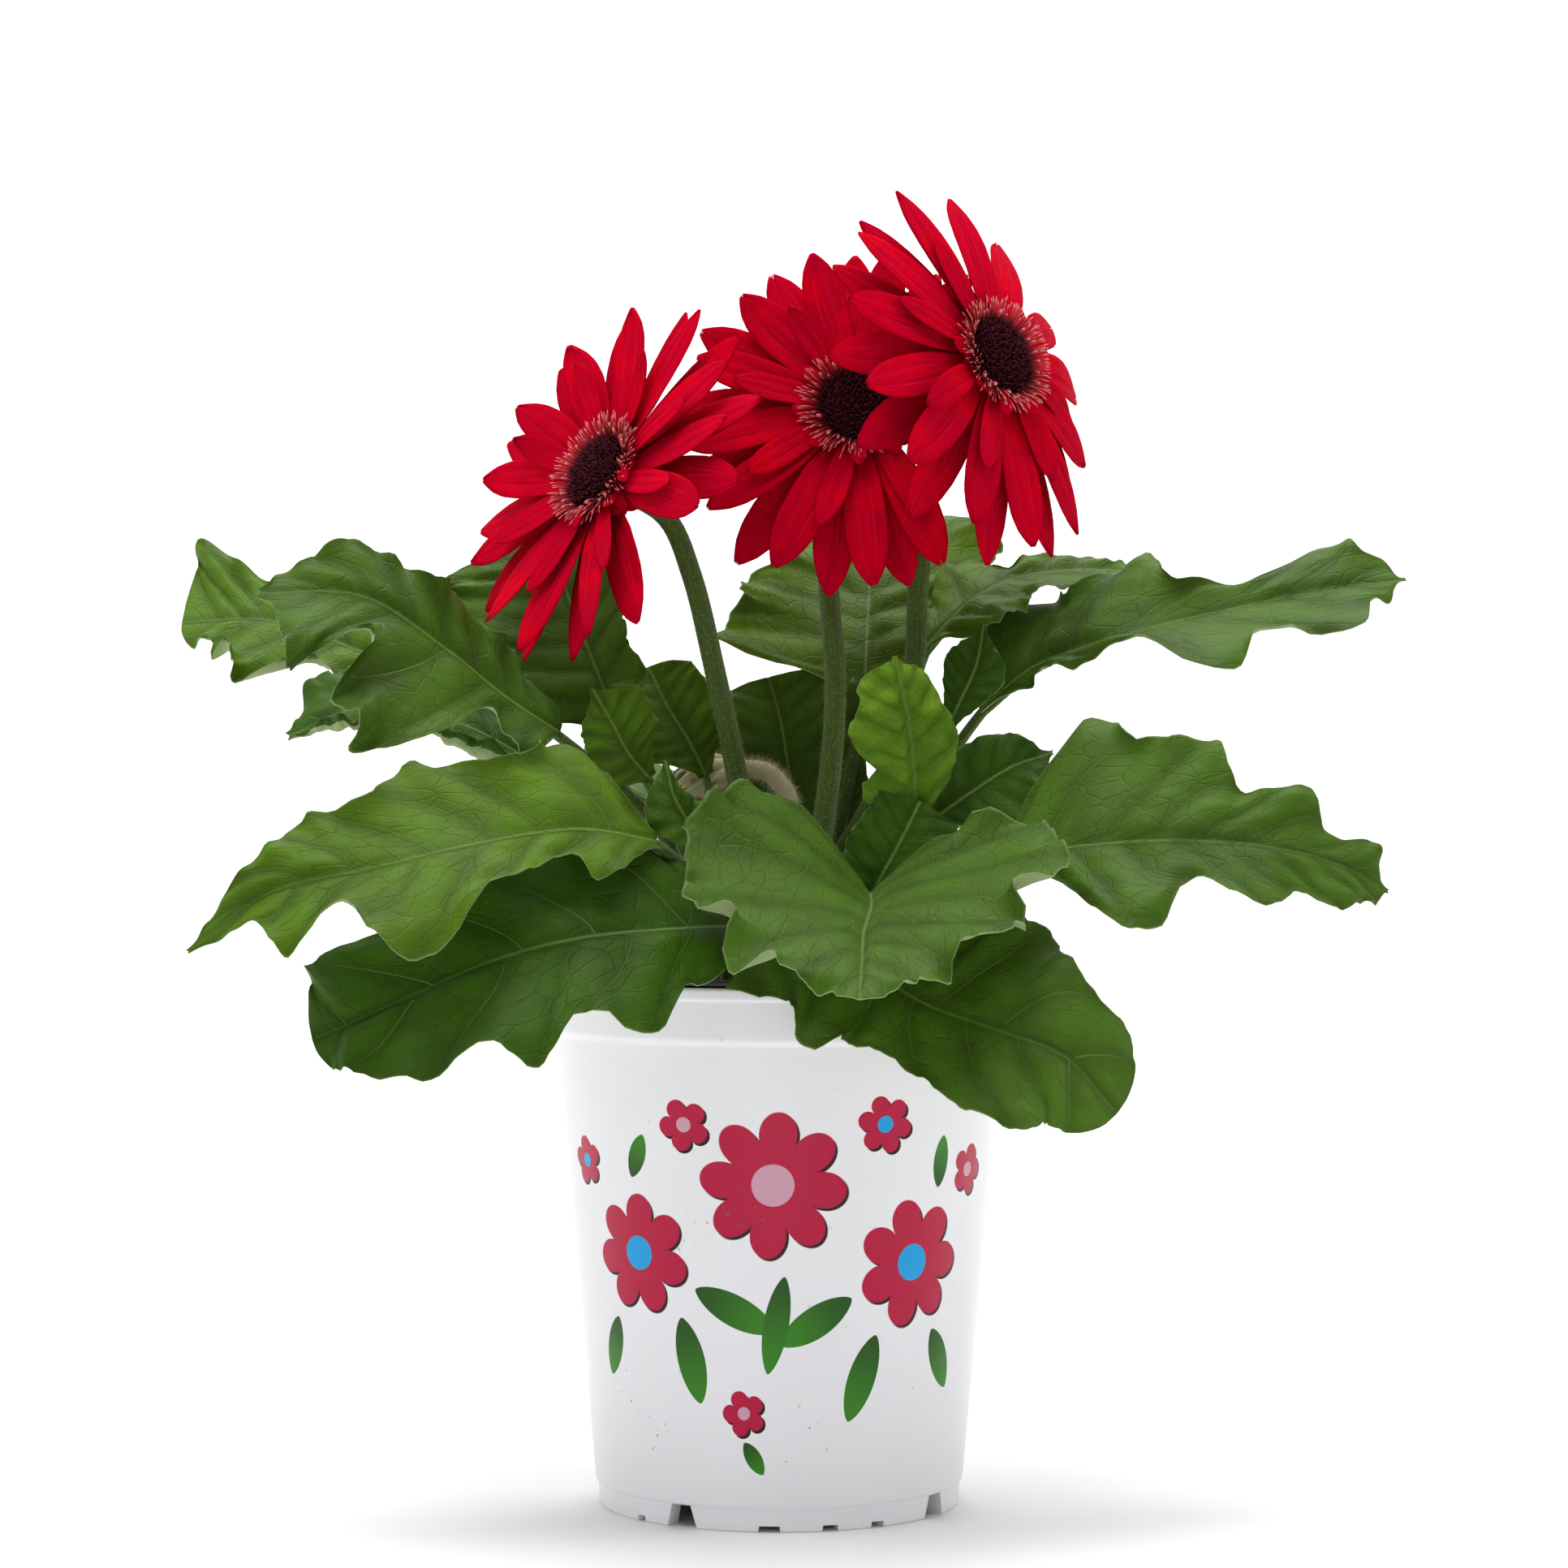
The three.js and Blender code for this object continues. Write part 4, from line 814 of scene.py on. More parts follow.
def ray(shape, flower, layer, index, frame_matrix, rng):
    """One strap-shaped ray: channelled along its veins, swayed and a little twisted."""
    around = 360 * (index + 0.5 * (layer["rise"] > 0)) / layer["count"] + flower["turn"]
    turned = (around + 180) % 360 - 180
    short = flower["gap"][0] < turned < flower["gap"][1]
    vary = 1 + 0.06 * math.sin(7 * index + 3 * layer["rise"] + flower["turn"])
    size = 9 if short else flower["length"] * layer["length"] * vary
    side, lift = flower["lift"]
    lifted = 0 if short else lift * max(0, math.cos(math.radians(around - side)))
    rise = math.radians(layer["rise"] - flower["reflex"])
    sway, twist, bow, notch = rng.uniform(-1, 1, 4)
    rows, columns = ((24, 15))
    t = np.linspace(0, 1, rows)[:, None] ** 0.9
    s = np.linspace(-1, 1, columns)[None]
    at, width = np.array(RAY_OUTLINE, float).T
    wide = np.interp(t, at / 100, width / 100) * (0.5 if short else 1) * layer["width"]
    wide = wide * (1 + 0.06 * rng.uniform(-1, 1))
    tips = 1 - 0.035 * t**8 * (np.cos(3 * math.pi * s * 0.95) * 0.5 + 0.5) * (1 + notch)
    out = HEAD["ring"] - 2.5 + t * tips * size * math.cos(rise)
    level = layer["base"] + t * size * math.sin(rise) - (3.5 - lifted) * t * t
    level = level + 5 * bow * t * (1 - t) * smoothstep(t / 0.3)
    angle = math.radians(20 * twist) * t
    channel = 0.16 * wide * (s**2 - 0.35) * (1 - 1.6 * t) * smoothstep(t / 0.15)
    folds = 0.42 * (np.exp(-(((s - 0.36) / 0.13) ** 2)) + np.exp(-(((s + 0.36) / 0.13) ** 2)))
    height = channel - folds * np.sin(math.pi * np.clip(t, 0, 1)) ** 0.5 * (0.4 if short else 1)
    y = s * wide * np.cos(angle) + 3.4 * sway * t**2 * (0.2 if short else 1)
    z = level + height + s * wide * np.sin(angle)
    thick = sizes().ray / METRE * (1 - 0.55 * np.abs(s) ** 3) / 2
    a = math.radians(around)
    x, y = out * math.cos(a) - y * math.sin(a), out * math.sin(a) + y * math.cos(a)
    faces, under = slab_faces(rows, columns)
    points = moved(np.vstack([grid(x, y, z + offset) for offset in (thick, -thick)]), frame_matrix)
    # out runs outwards and y to the left of it, so the upper grid's faces are turned round
    shape.add(points, [f[::-1] for f in faces], np.array(under), np.tile(grid(t, s, rng.random()), (2, 1)))


def frill(shape, flower, frame_matrix, rng):
    """Short inner rays, which stand up here and there between the fringe and the long rays."""
    plain = {**flower, "gap": [0, 0], "lift": [0, 0]}
    for index in range(SHORT_INNER_RAYS["count"]):
        if rng.random() < 0.6:
            ray(shape, plain, SHORT_INNER_RAYS, index, frame_matrix, rng)


# ------------------------------------------------------------------ pot and liner
def pot_radius(height):
    """Outer radius of the white pot's slanted wall."""
    slope = (POT["top"] - POT["proud"] - POT["base"]) / (POT["height"] - POT["foot"])
    return POT["base"] + slope * (height - POT["foot"])


def liner_radius(height):
    """Outer radius of the inner pot's slanted wall."""
    return pot_radius(height) - POT["wall"] - LINER["gap"]


def foot_cut(shape, angle, width, height, slope):
    """Wedge that is cut from the foot ring, with sloping ends."""
    half = POT["base"] * math.tan(math.radians(width / 2))
    outline = [(-half, -1), (half, -1), (half - slope / 2, height), (slope / 2 - half, height)]
    turn = math.radians(angle + 90)
    points = []
    for y in (-POT["base"] - 2, -POT["base"] + 12):
        for x, z in outline:
            points.append([x * math.cos(turn) - y * math.sin(turn),
                           x * math.sin(turn) + y * math.cos(turn), z])
    shape.add(points, [(0, 1, 2, 3), (7, 6, 5, 4), (0, 4, 5, 1), (1, 5, 6, 2), (2, 6, 7, 3), (3, 7, 4, 0)])


# ------------------------------------------------------------------ node helpers
class Value:
    """One output in a node tree. Each sign between two numbers adds a math node."""

    def __init__(self, graph, socket):
        self.graph, self.socket = graph, socket

    def __add__(self, other):
        return self.graph.math("ADD", self, other)

    def __sub__(self, other):
        return self.graph.math("SUBTRACT", self, other)

    def __rsub__(self, other):
        return self.graph.math("SUBTRACT", other, self)

    def __mul__(self, other):
        return self.graph.math("MULTIPLY", self, other)

    def __truediv__(self, other):
        return self.graph.math("DIVIDE", self, other)

    def __rtruediv__(self, other):
        return self.graph.math("DIVIDE", other, self)

    def __pow__(self, other):
        return self.graph.math("POWER", self, other)

    def __abs__(self):
        return self.graph.math("ABSOLUTE", self)

    __radd__ = __add__


class Graph:
    """Short calls for a node tree. What goes into a socket is a number, a colour, a name or a Value."""

    def __init__(self, tree):
        self.tree = tree

    def node(self, kind, inputs=None, **settings):
        node = self.tree.nodes.new(kind)
        for key, value in settings.items():
            setattr(node, key, value)
        for key, value in (inputs or {}).items():
            self.put(node.inputs[key], value)
        return node

    def value(self, kind, inputs=None, out=0, **settings):
        """One output of a new node."""
        return Value(self, self.node(kind, inputs, **settings).outputs[out])

    def values(self, node):
        """All outputs of a node, by their names."""
        return {socket.name: Value(self, socket) for socket in node.outputs}

    def put(self, socket, value):
        if isinstance(value, Value):
            self.tree.links.new(value.socket, socket)
        elif socket.type == "RGBA":
            socket.default_value = (*value[:3], 1)
        else:
            socket.default_value = value

    def math(self, operation, *values):
        node = self.node("ShaderNodeMath", operation=operation)
        for socket, value in zip(node.inputs, values):
            self.put(socket, value)
        return Value(self, node.outputs[0])

    def vector(self, x, y, z=0.0):
        return self.value("ShaderNodeCombineXYZ", {"X": x, "Y": y, "Z": z})

    def split(self, vector):
        """The x, y and z of a vector."""
        return self.values(self.node("ShaderNodeSeparateXYZ", {"Vector": vector})).values()

    def between(self, value, low, high):
        """0 at low, 1 at high, eased."""
        return self.value("ShaderNodeMapRange", {"Value": value, "From Min": low, "From Max": high},
                          interpolation_type="SMOOTHSTEP")

    def mix(self, share, a, b):
        node = self.node("ShaderNodeMix", data_type="RGBA")
        for socket, value in zip([node.inputs[0], node.inputs[6], node.inputs[7]], (share, a, b)):
            self.put(socket, value)
        return Value(self, node.outputs[2])

    def noise(self, vector, scale, detail=3.0, roughness=0.55):
        return self.value("ShaderNodeTexNoise", {"Vector": vector, "Scale": scale, "Detail": detail,
                                                 "Roughness": roughness})


class Finish(Graph):
    """A material on the Principled shader, with colour, roughness and bump from its own nodes."""

    def __init__(self, name, **constants):
        self.material = bpy.data.materials.new(name)
        self.material.use_nodes = True
        super().__init__(self.material.node_tree)
        self.shader = next(n for n in self.tree.nodes if n.type == "BSDF_PRINCIPLED")
        for key, value in constants.items():
            self.put(self.shader.inputs[key.replace("_", " ")], value)
        self.object = self.value("ShaderNodeTexCoord", out="Object")

    def attribute(self, name, out):
        return self.value("ShaderNodeAttribute", out=out, attribute_name=name)

    def place(self):
        return self.split(self.attribute("place", "Vector"))

    def colour(self, value):
        self.put(self.shader.inputs["Base Color"], value)

    def rough(self, value):
        self.put(self.shader.inputs["Roughness"], value)

    def bump(self, height, distance, strength):
        normal = self.value("ShaderNodeBump", {"Height": height, "Distance": distance, "Strength": strength})
        self.put(self.shader.inputs["Normal"], normal)


def shade(colour, share):
    """The same colour, darker or lighter."""
    return tuple(min(1, part * share) for part in colour)


# ------------------------------------------------------------------ finishes of the plant
LEAF_MOTTLE_AND_SWELL_HIGHLIGHTS = {  # each leaf's lighter green, used for random mottling and as a painted highlight where the blade swells between its veins
    # the youngest leaf's lighter green is partly painted light, against the flowers' shade
    "leaf young": (0.2, 0.36, 0.02),
    "leaf fresh": (0.11, 0.215, 0.007),
    "leaf mid": (0.075, 0.16, 0.015),
    "leaf dark": (0.045, 0.1, 0.012),
}


def off_side_vein(f, phase):
    """0 on a side vein, 0.5 halfway between two."""
    return abs(f.math("FRACT", phase + 0.5) - 0.5)


def upper_leaf(name):
    """Satin green with pale veins, a net of finer ones between them and a pale edge, a painted highlight
    where the blade swells between its veins, and painted shade in the sunken valleys along the side veins and
    in the groove beside the midrib. place is along, across and phase, which counts the side veins."""
    f = Finish(name, Specular_IOR_Level=0.2, Specular_Tint=(0.85, 1.0, 0.6))
    base, mottle_and_highlight_green = getattr(colours(), name.replace(" ", "_")), LEAF_MOTTLE_AND_SWELL_HIGHLIGHTS[name]
    vein, felt = colours().leaf_vein, colours().leaf_felt
    along, across, phase = f.place()
    edge = f.attribute("edge", "Fac")
    rib = 1 - f.between(across, 0.2, 0.8)
    off_vein = off_side_vein(f, phase)
    side_vein = (1 - f.between(off_vein, 0.003, 0.02)) * f.between(edge, 0.97, 0.4)
    net_place = f.vector(across * 0.13, phase * 2.3, along * 0.02)
    branch, twig = (
        1 - f.between(f.value("ShaderNodeTexVoronoi", {"Vector": net_place, "Scale": scale}, "Distance",
                              feature="DISTANCE_TO_EDGE"), 0.0, width)
        for scale, width in ((1.0, 0.06), (3.4, 0.09)))
    cloud = f.noise(f.object, 32.0, 4.0)
    mottle = f.noise(f.object, 210.0, 3.0)
    # where the blade swells between its side veins, for a painted highlight
    painted_swell_highlight = f.between(off_vein, 0.2, 0.45) * f.between(edge, 0.1, 0.45)
    shown = 0.12 + f.between(along, 150.0, 0.0) * 0.5
    tone = f.mix(f.between(cloud, 0.3, 0.68), shade(base, 0.82), shade(base, 1.4))
    for share, onto in (
        # random mottling, then a painted highlight on the swellings between the side veins
        (f.between(mottle, 0.5, 0.75) * 0.14, mottle_and_highlight_green), (painted_swell_highlight * 0.3, mottle_and_highlight_green),
        # painted shade in the sunken valleys along the side veins
        (f.between(off_vein, 0.26, 0.03) * 0.4, shade(base, 0.5)),
        # painted shade in the groove beside the midrib
        (f.between(across, 4.0, 1.0) * 0.35, shade(base, 0.5)),
        (branch * 0.16, shade(base, 0.6)), (twig * 0.08, shade(base, 0.6)),
        (side_vein * 0.34, vein), (rib * shown, vein), (f.between(edge, 0.98, 1.0) * 0.4, felt),
    ):
        tone = f.mix(share, tone, onto)
    f.colour(tone)
    f.rough(0.42 + cloud * 0.22)
    f.bump(branch * -0.3 + twig * -0.12 + side_vein * -0.8 + mottle * 0.35, 0.0006, 0.8)
    return f.material


def under_leaf(name):
    """Pale felt with raised veins."""
    f = Finish(name, Roughness=0.85, Specular_IOR_Level=0.25, Sheen_Weight=0.12, Sheen_Roughness=0.6)
    felt = colours().leaf_felt
    _, across, phase = f.place()
    side_vein = 1 - f.between(off_side_vein(f, phase), 0.01, 0.05)
    rib = 1 - f.between(across, 0.8, 2.4)
    fibres = f.noise(f.object, 900.0, 2.0)
    tone = f.mix(f.between(f.noise(f.object, 45.0), 0.3, 0.7), felt, shade(felt, 0.72))
    tone = f.mix(fibres * 0.3, tone, shade(felt, 1.3))
    f.colour(f.mix(f.math("MAXIMUM", rib, side_vein) * 0.55, tone, colours().leaf_vein))
    f.bump(fibres, 0.0004, 0.6)
    return f.material


def stalk_finish(name):
    """Green stalk, a little brown and pale towards its foot, with fine lengthwise streaks."""
    f = Finish(name, Roughness=0.6, Specular_IOR_Level=0.3, Sheen_Weight=0.1, Sheen_Roughness=0.5)
    green = colours().stalk
    run, angle, _ = f.place()
    _, _, height = f.split(f.object)
    streak = f.noise(f.vector(run * 0.02, angle * 2.5), 3.0, 3.0)
    speck = f.noise(f.object, 1400.0, 1.0)
    tone = f.mix(f.between(streak, 0.35, 0.68), shade(green, 0.62), green)
    tone = f.mix(f.between(height, 0.225, 0.178) * 0.6, tone, (0.17, 0.12, 0.06))
    f.colour(f.mix(f.between(speck, 0.55, 0.7) * 0.35, tone, colours().hair))
    f.bump(streak + speck * 0.5, 0.0005, 0.7)
    return f.material


def hair_finish(name, base):
    f = Finish(name, Roughness=0.75, Specular_IOR_Level=0.3, Sheen_Weight=0.15)
    f.colour(f.mix(f.noise(f.object, 300.0), base, shade(base, 0.7)))
    return f.material


def ray_finish(name, base):
    """Velvety red with pinkish lengthwise veins, dark margins and painted shade towards the foot. place is
    along, across, chance.
    """
    f = Finish(name, Specular_IOR_Level=0.01, Specular_Tint=(1.0, 0.15, 0.25), Sheen_Weight=0.08,
               Sheen_Roughness=0.35, Sheen_Tint=(1.0, 0.0, 0.07))
    vein = colours().ray_vein
    along, across, chance = f.place()
    far = abs(across)
    main = 1 - f.between(abs(far - 0.36), 0.015, 0.07)
    wander = f.noise(f.vector(along * 1.3, across * 7.0, chance), 2.0, 2.0)
    lines = f.between(abs(f.math("SINE", across * 24.0)), 0.35, 0.0) * 0.5
    blush = f.noise(f.object, 60.0, 3.0)
    tone = f.mix(f.between(wander, 0.35, 0.75), base, shade(base, 0.66))
    for share, onto in (
        (f.between(blush, 0.45, 0.7) * 0.5, (0.82, 0.0, 0.006)),
        (main * f.between(along, 0.02, 0.5) * 0.2, vein), (lines * 0.1, vein),
        (f.between(far, 0.86, 1.0) * 0.3, shade(base, 0.5)),
        # painted shade at the ray's foot, where it lies under the fringe and the other rays
        (f.between(along, 0.3, 0.0), shade(base, 0.35)),
        (f.between(chance, 0.4, 1.0) * 0.35, shade(base, 0.6)),
    ):
        tone = f.mix(share, tone, onto)
    f.colour(tone)
    f.rough(0.5 + wander * 0.2)
    f.bump(wander + lines, 0.0003, 0.6)
    return f.material


def floret_finish(name):
    f = Finish(name, Roughness=0.85, Specular_IOR_Level=0.1, Sheen_Weight=0.06, Sheen_Tint=(0.6, 0.1, 0.15))
    along, _, _ = f.place()
    tone = f.mix(f.between(f.noise(f.object, 700.0), 0.35, 0.7), colours().disc, (0.06, 0.006, 0.012))
    f.colour(f.mix(f.between(along, 0.6, 1.0) * 0.5, tone, (0.13, 0.016, 0.032)))
    return f.material


def filament_finish(name):
    """Dark red at the foot, salmon pink with a pale tip further out."""
    f = Finish(name, Roughness=0.55, Specular_IOR_Level=0.3)
    along, _, _ = f.place()
    tone = f.mix(f.between(along, 0.25, 0.7), (0.13, 0.0, 0.004), colours().filament)
    tone = f.mix(f.between(along, 0.74, 0.92), tone, (0.82, 0.29, 0.265))
    f.colour(f.mix(f.noise(f.object, 500.0) * 0.4, tone, (0.45, 0.02, 0.03)))
    return f.material


def bud_finish(name):
    """Overlapping bracts, striped lengthwise in pinkish brown and tan."""
    f = Finish(name, Roughness=0.7, Specular_IOR_Level=0.3, Sheen_Weight=0.15)
    along, across, _ = f.place()
    stripe = abs(f.math("SINE", across * 9.0))
    tone = f.mix(f.between(stripe, 0.15, 0.6), (0.13, 0.06, 0.035), (0.42, 0.37, 0.2))
    tone = f.mix(f.between(along, 0.35, 0.95) * 0.4, tone, (0.24, 0.14, 0.08))
    f.colour(f.mix(f.noise(f.object, 500.0) * 0.35, tone, (0.1, 0.09, 0.04)))
    f.bump(stripe, 0.0003, 0.5)
    return f.material


def crown_finish(name):
    f = Finish(name, Roughness=0.9)
    bark = f.noise(f.object, 160.0, 5.0)
    f.colour(f.mix(f.between(bark, 0.35, 0.65), (0.05, 0.035, 0.02), (0.16, 0.13, 0.06)))
    f.bump(f.noise(f.object, 420.0, 4.0), 0.001, 0.8)
    return f.material


# ------------------------------------------------------------------ finishes of soil and pots
def soil_finish(name):
    f = Finish(name, Roughness=0.95)
    earth = colours().soil
    grain = f.noise(f.object, 520.0, 6.0, 0.7)
    fibre = f.between(f.noise(f.object, 1100.0, 2.0), 0.66, 0.74)
    tone = f.mix(f.between(grain, 0.35, 0.62), shade(earth, 0.5), shade(earth, 1.7))
    f.colour(f.mix(fibre * 0.5, tone, (0.16, 0.1, 0.05)))
    f.bump(grain, 0.0015, 1.0)
    return f.material


def liner_finish(name):
    f = Finish(name, Coat_Weight=0.2, Coat_Roughness=0.3)
    dust = f.noise(f.object, 260.0, 5.0)
    f.colour(f.mix(f.between(dust, 0.55, 0.75) * 0.4, colours().liner, (0.06, 0.055, 0.05)))
    f.rough(0.3 + dust * 0.3)
    f.bump(dust, 0.0004, 0.3)
    return f.material


def motif(name, outputs, inputs):
    """A node group for one printed motif: its graph, the given values and the sockets to fill."""
    tree = bpy.data.node_groups.new(name, "ShaderNodeTree")
    for labels, way in ((inputs, "INPUT"), (outputs, "OUTPUT")):
        for label in labels:
            tree.interface.new_socket(name=label, in_out=way, socket_type="NodeSocketFloat")
    g = Graph(tree)
    return g, g.values(g.node("NodeGroupInput")), g.node("NodeGroupOutput").inputs


def blossom_motif():
    """A round blossom of blunt petals with a plain eye, both 1 inside and 0 outside."""
    g, given, made = motif("Printed blossom", ("Petals", "Eye"),
                           ("Around", "Height", "Centre Around", "Centre Height", "Radius", "Petals", "Turn"))
    dx, dy = given["Around"] - given["Centre Around"], given["Height"] - given["Centre Height"]
    out = g.math("SQRT", dx * dx + dy * dy) / given["Radius"]
    angle = g.math("ARCTAN2", dy, dx) + given["Turn"]
    lobe = abs(g.math("COSINE", angle * given["Petals"] * 0.5))
    reach = 0.56 + lobe ** 0.55 * 0.44
    g.put(made["Petals"], g.between(out - reach, 0.012, -0.012))
    g.put(made["Eye"], g.between(out, 0.292, 0.28))
    return g.tree


def leaflet_motif():
    """A pointed leaf, with how far along it each place is."""
    g, given, made = motif("Printed leaf", ("Leaf", "Along"),
                           ("Around", "Height", "Foot Around", "Foot Height", "Angle", "Length", "Width"))
    dx, dy = given["Around"] - given["Foot Around"], given["Height"] - given["Foot Height"]
    cos, sin = g.math("COSINE", given["Angle"]), g.math("SINE", given["Angle"])
    share = (dx * cos + dy * sin) / given["Length"]
    across = abs(dy * cos - dx * sin)
    inside = share * (1 - share) * 4.0
    half = given["Width"] * g.math("MAXIMUM", inside, 0.0) ** 0.7
    g.put(made["Leaf"], g.between(across - half, 0.0001, -0.0001) * g.between(inside, 0.0, 0.02))
    g.put(made["Along"], share)
    return g.tree


def stamp(f, group, *given):
    """The outputs of one printed motif for the given inputs, in the group's order."""
    node = f.node("ShaderNodeGroup", node_tree=group)
    for socket, value in zip(node.inputs, given):
        f.put(socket, value)
    return f.values(node)


def pot_finish(name):
    """White plastic with a printed band of plain blossoms and leaves, the same front and back."""
    f = Finish(name, Coat_Weight=0.06, Coat_Roughness=0.15, IOR=1.46, Specular_IOR_Level=0.25)
    c = colours()
    eyes = {"blue": c.print_blue, "pink": c.print_pink}
    x, y, z = f.split(f.object)
    turn = f.math("WRAP", f.math("ARCTAN2", x, y * -1.0), math.pi / 2, -math.pi / 2)
    around = turn * PRINT_RADIUS
    cloud = f.noise(f.object, 12.0, 4.0)
    tone = f.mix(f.between(cloud, 0.35, 0.7), c.pot, shade(c.pot, 0.965))
    blossom, leaflet = blossom_motif(), leaflet_motif()
    for printed in LEAFLETS:
        leaf = stamp(f, leaflet, around, z, *printed)
        green = f.mix(f.between(leaf["Along"], 0.0, 1.0), shade(c.print_green, 0.35), c.print_green)
        tone = f.mix(leaf["Leaf"], tone, green)
    for centre, height, radius, petals, turned, eye in BLOSSOMS:
        for shift, rose in ((PRINT_SHADOW, (0.02, 0.002, 0.006)), (0.0, c.print_rose)):
            one = stamp(f, blossom, around, z, centre + shift, height - shift, radius, petals, turned)
            tone = f.mix(one["Petals"], tone, rose)
        tone = f.mix(one["Eye"], tone, eyes[eye])
    speck = f.between(f.noise(f.object, 520.0, 1.0), 0.7, 0.74)
    dusted = f.between(f.noise(f.object, 37.0, 2.0), 0.6, 0.66)
    f.colour(f.mix(speck * dusted * 0.6, tone, (0.16, 0.12, 0.08)))
    f.rough(0.27 + cloud * 0.1)
    f.bump(f.noise(f.object, 70.0, 3.0), 0.0006, 0.12)
    return f.material


FINISHES = {
    **dict.fromkeys(LEAF_MOTTLE_AND_SWELL_HIGHLIGHTS, upper_leaf),
    "leaf felt": under_leaf,
    "green stalk": stalk_finish,
    "stalk hair": lambda name: hair_finish(name, colours().hair),
    "wool": lambda name: hair_finish(name, colours().wool),
    "ray": lambda name: ray_finish(name, colours().ray_red),
    "ray back": lambda name: ray_finish(name, colours().ray_back),
    "dark florets": floret_finish,
    "fringe filaments": filament_finish,
    "bud bracts": bud_finish,
    "crown bark": crown_finish,
    "potting soil": soil_finish,
    "inner pot plastic": liner_finish,
    "white pot plastic": pot_finish,
}


def finish(name):
    return bpy.data.materials.get(name) or FINISHES[name](name)


# ------------------------------------------------------------------ geometry node trees
class Tree(Graph):
    """A geometry tree with named inputs, which adds copies of something to a piece."""

    def __init__(self, name, **inputs):
        super().__init__(bpy.data.node_groups.new(name, "GeometryNodeTree"))
        shared = (("Geometry", ["Geometry"]), ("Int", ["Seed"]), ("Material", ["Finish"]))
        for kind, labels in (*shared, *inputs.items()):
            for label in labels:
                self.tree.interface.new_socket(name=label, in_out="INPUT", socket_type="NodeSocket" + kind)
        self.tree.interface.new_socket(name="Geometry", in_out="OUTPUT", socket_type="NodeSocketGeometry")
        self.given = self.values(self.node("NodeGroupInput"))

    def random(self, low, high, shift=0.0, kind="FLOAT"):
        """A chance value for each copy. shift tells those of one tree apart."""
        node = self.node("FunctionNodeRandomValue", data_type=kind)
        usable = [s for s in node.inputs if s.enabled]
        for socket, value in zip(usable, (low, high)):
            self.put(socket, value)
        seed = self.given["Seed"]
        self.put(next(s for s in usable if s.name == "Seed"), seed + shift if shift else seed)
        return Value(self, next(s for s in node.outputs if s.enabled))

    def strewn(self):
        """Points strewn over the piece, the more the hairier it is."""
        hairy = self.value("GeometryNodeInputNamedAttribute", {"Name": "hairy"}, data_type="FLOAT")
        given = self.given
        return self.values(self.node(
            "GeometryNodeDistributePointsOnFaces",
            {"Mesh": given["Geometry"], "Density": given["Density"] * hairy, "Seed": given["Seed"]}))

    def circled(self, turn, out, level, lean, spin, size):
        """Copies of the given piece round +Z, leaning outwards."""
        where = self.vector(self.math("COSINE", turn) * out, self.math("SINE", turn) * out, level)
        points = self.value("GeometryNodePoints", {"Count": self.given["Count"], "Position": where})
        piece = self.value("GeometryNodeObjectInfo", {"Object": self.given["Piece"]}, "Geometry")
        return self.stood(points, piece, self.rotation(self.vector(0.0, lean, spin)), size)

    def rotation(self, euler):
        return self.value("FunctionNodeEulerToRotation", {"Euler": euler})

    def stood(self, points, copy, rotation, size):
        """Stands the copies on the points, gives them their finish and ends the tree."""
        copies = self.value("GeometryNodeInstanceOnPoints", {
            "Points": points, "Instance": copy, "Rotation": rotation, "Scale": size})
        grown = self.value("GeometryNodeStoreNamedAttribute",
                           {"Geometry": copies, "Name": "grown", "Value": 1.0},
                           data_type="FLOAT", domain="INSTANCE")
        joined = self.node("GeometryNodeJoinGeometry", {"Geometry": self.given["Geometry"]})
        self.put(joined.inputs[0], grown)
        real = self.value("GeometryNodeRealizeInstances", {"Geometry": Value(self, joined.outputs[0])})
        named = self.value("GeometryNodeInputNamedAttribute", {"Name": "grown"}, data_type="FLOAT")
        last = self.value("GeometryNodeSetMaterial", {
            "Geometry": real, "Selection": self.math("GREATER_THAN", named, 0.5),
            "Material": self.given["Finish"]})
        self.put(self.node("NodeGroupOutput").inputs[0], last)
        return self.tree


def hair_tree(name):
    """Fine hairs that stand on a surface, leaning at random."""
    t = Tree(name, Float=("Density", "Length", "Radius", "Lean"))
    g = t.given
    points = t.strewn()
    hair = t.value("GeometryNodeMeshCone",
                   {"Vertices": 3, "Radius Top": 0.0, "Radius Bottom": g["Radius"], "Depth": g["Length"]},
                   "Mesh", fill_type="NGON")
    low = t.vector(g["Lean"] * -1.0, g["Lean"] * -1.0, -math.pi)
    high = t.vector(g["Lean"], g["Lean"], math.pi)
    tilt = t.rotation(t.random(low, high, kind="FLOAT_VECTOR"))
    turned = t.value("FunctionNodeRotateRotation", {"Rotation": points["Rotation"], "Rotate By": tilt},
                     rotation_space="LOCAL")
    return t.stood(points["Points"], hair, turned, t.random(0.45, 1.15, 7.0))


def crumb_tree(name):
    """Crumbs strewn on a surface, each turned and squeezed at random."""
    t = Tree(name, Float=("Density", "Size"))
    crumb = t.value("GeometryNodeMeshIcoSphere", {"Radius": t.given["Size"], "Subdivisions": 1}, "Mesh")
    turn = t.random((-3.0, -3.0, -3.0), (3.0, 3.0, 3.0), kind="FLOAT_VECTOR")
    size = t.random((0.35, 0.35, 0.3), (1.3, 1.1, 0.9), 3.0, "FLOAT_VECTOR")
    return t.stood(t.strewn()["Points"], crumb, t.rotation(turn), size)


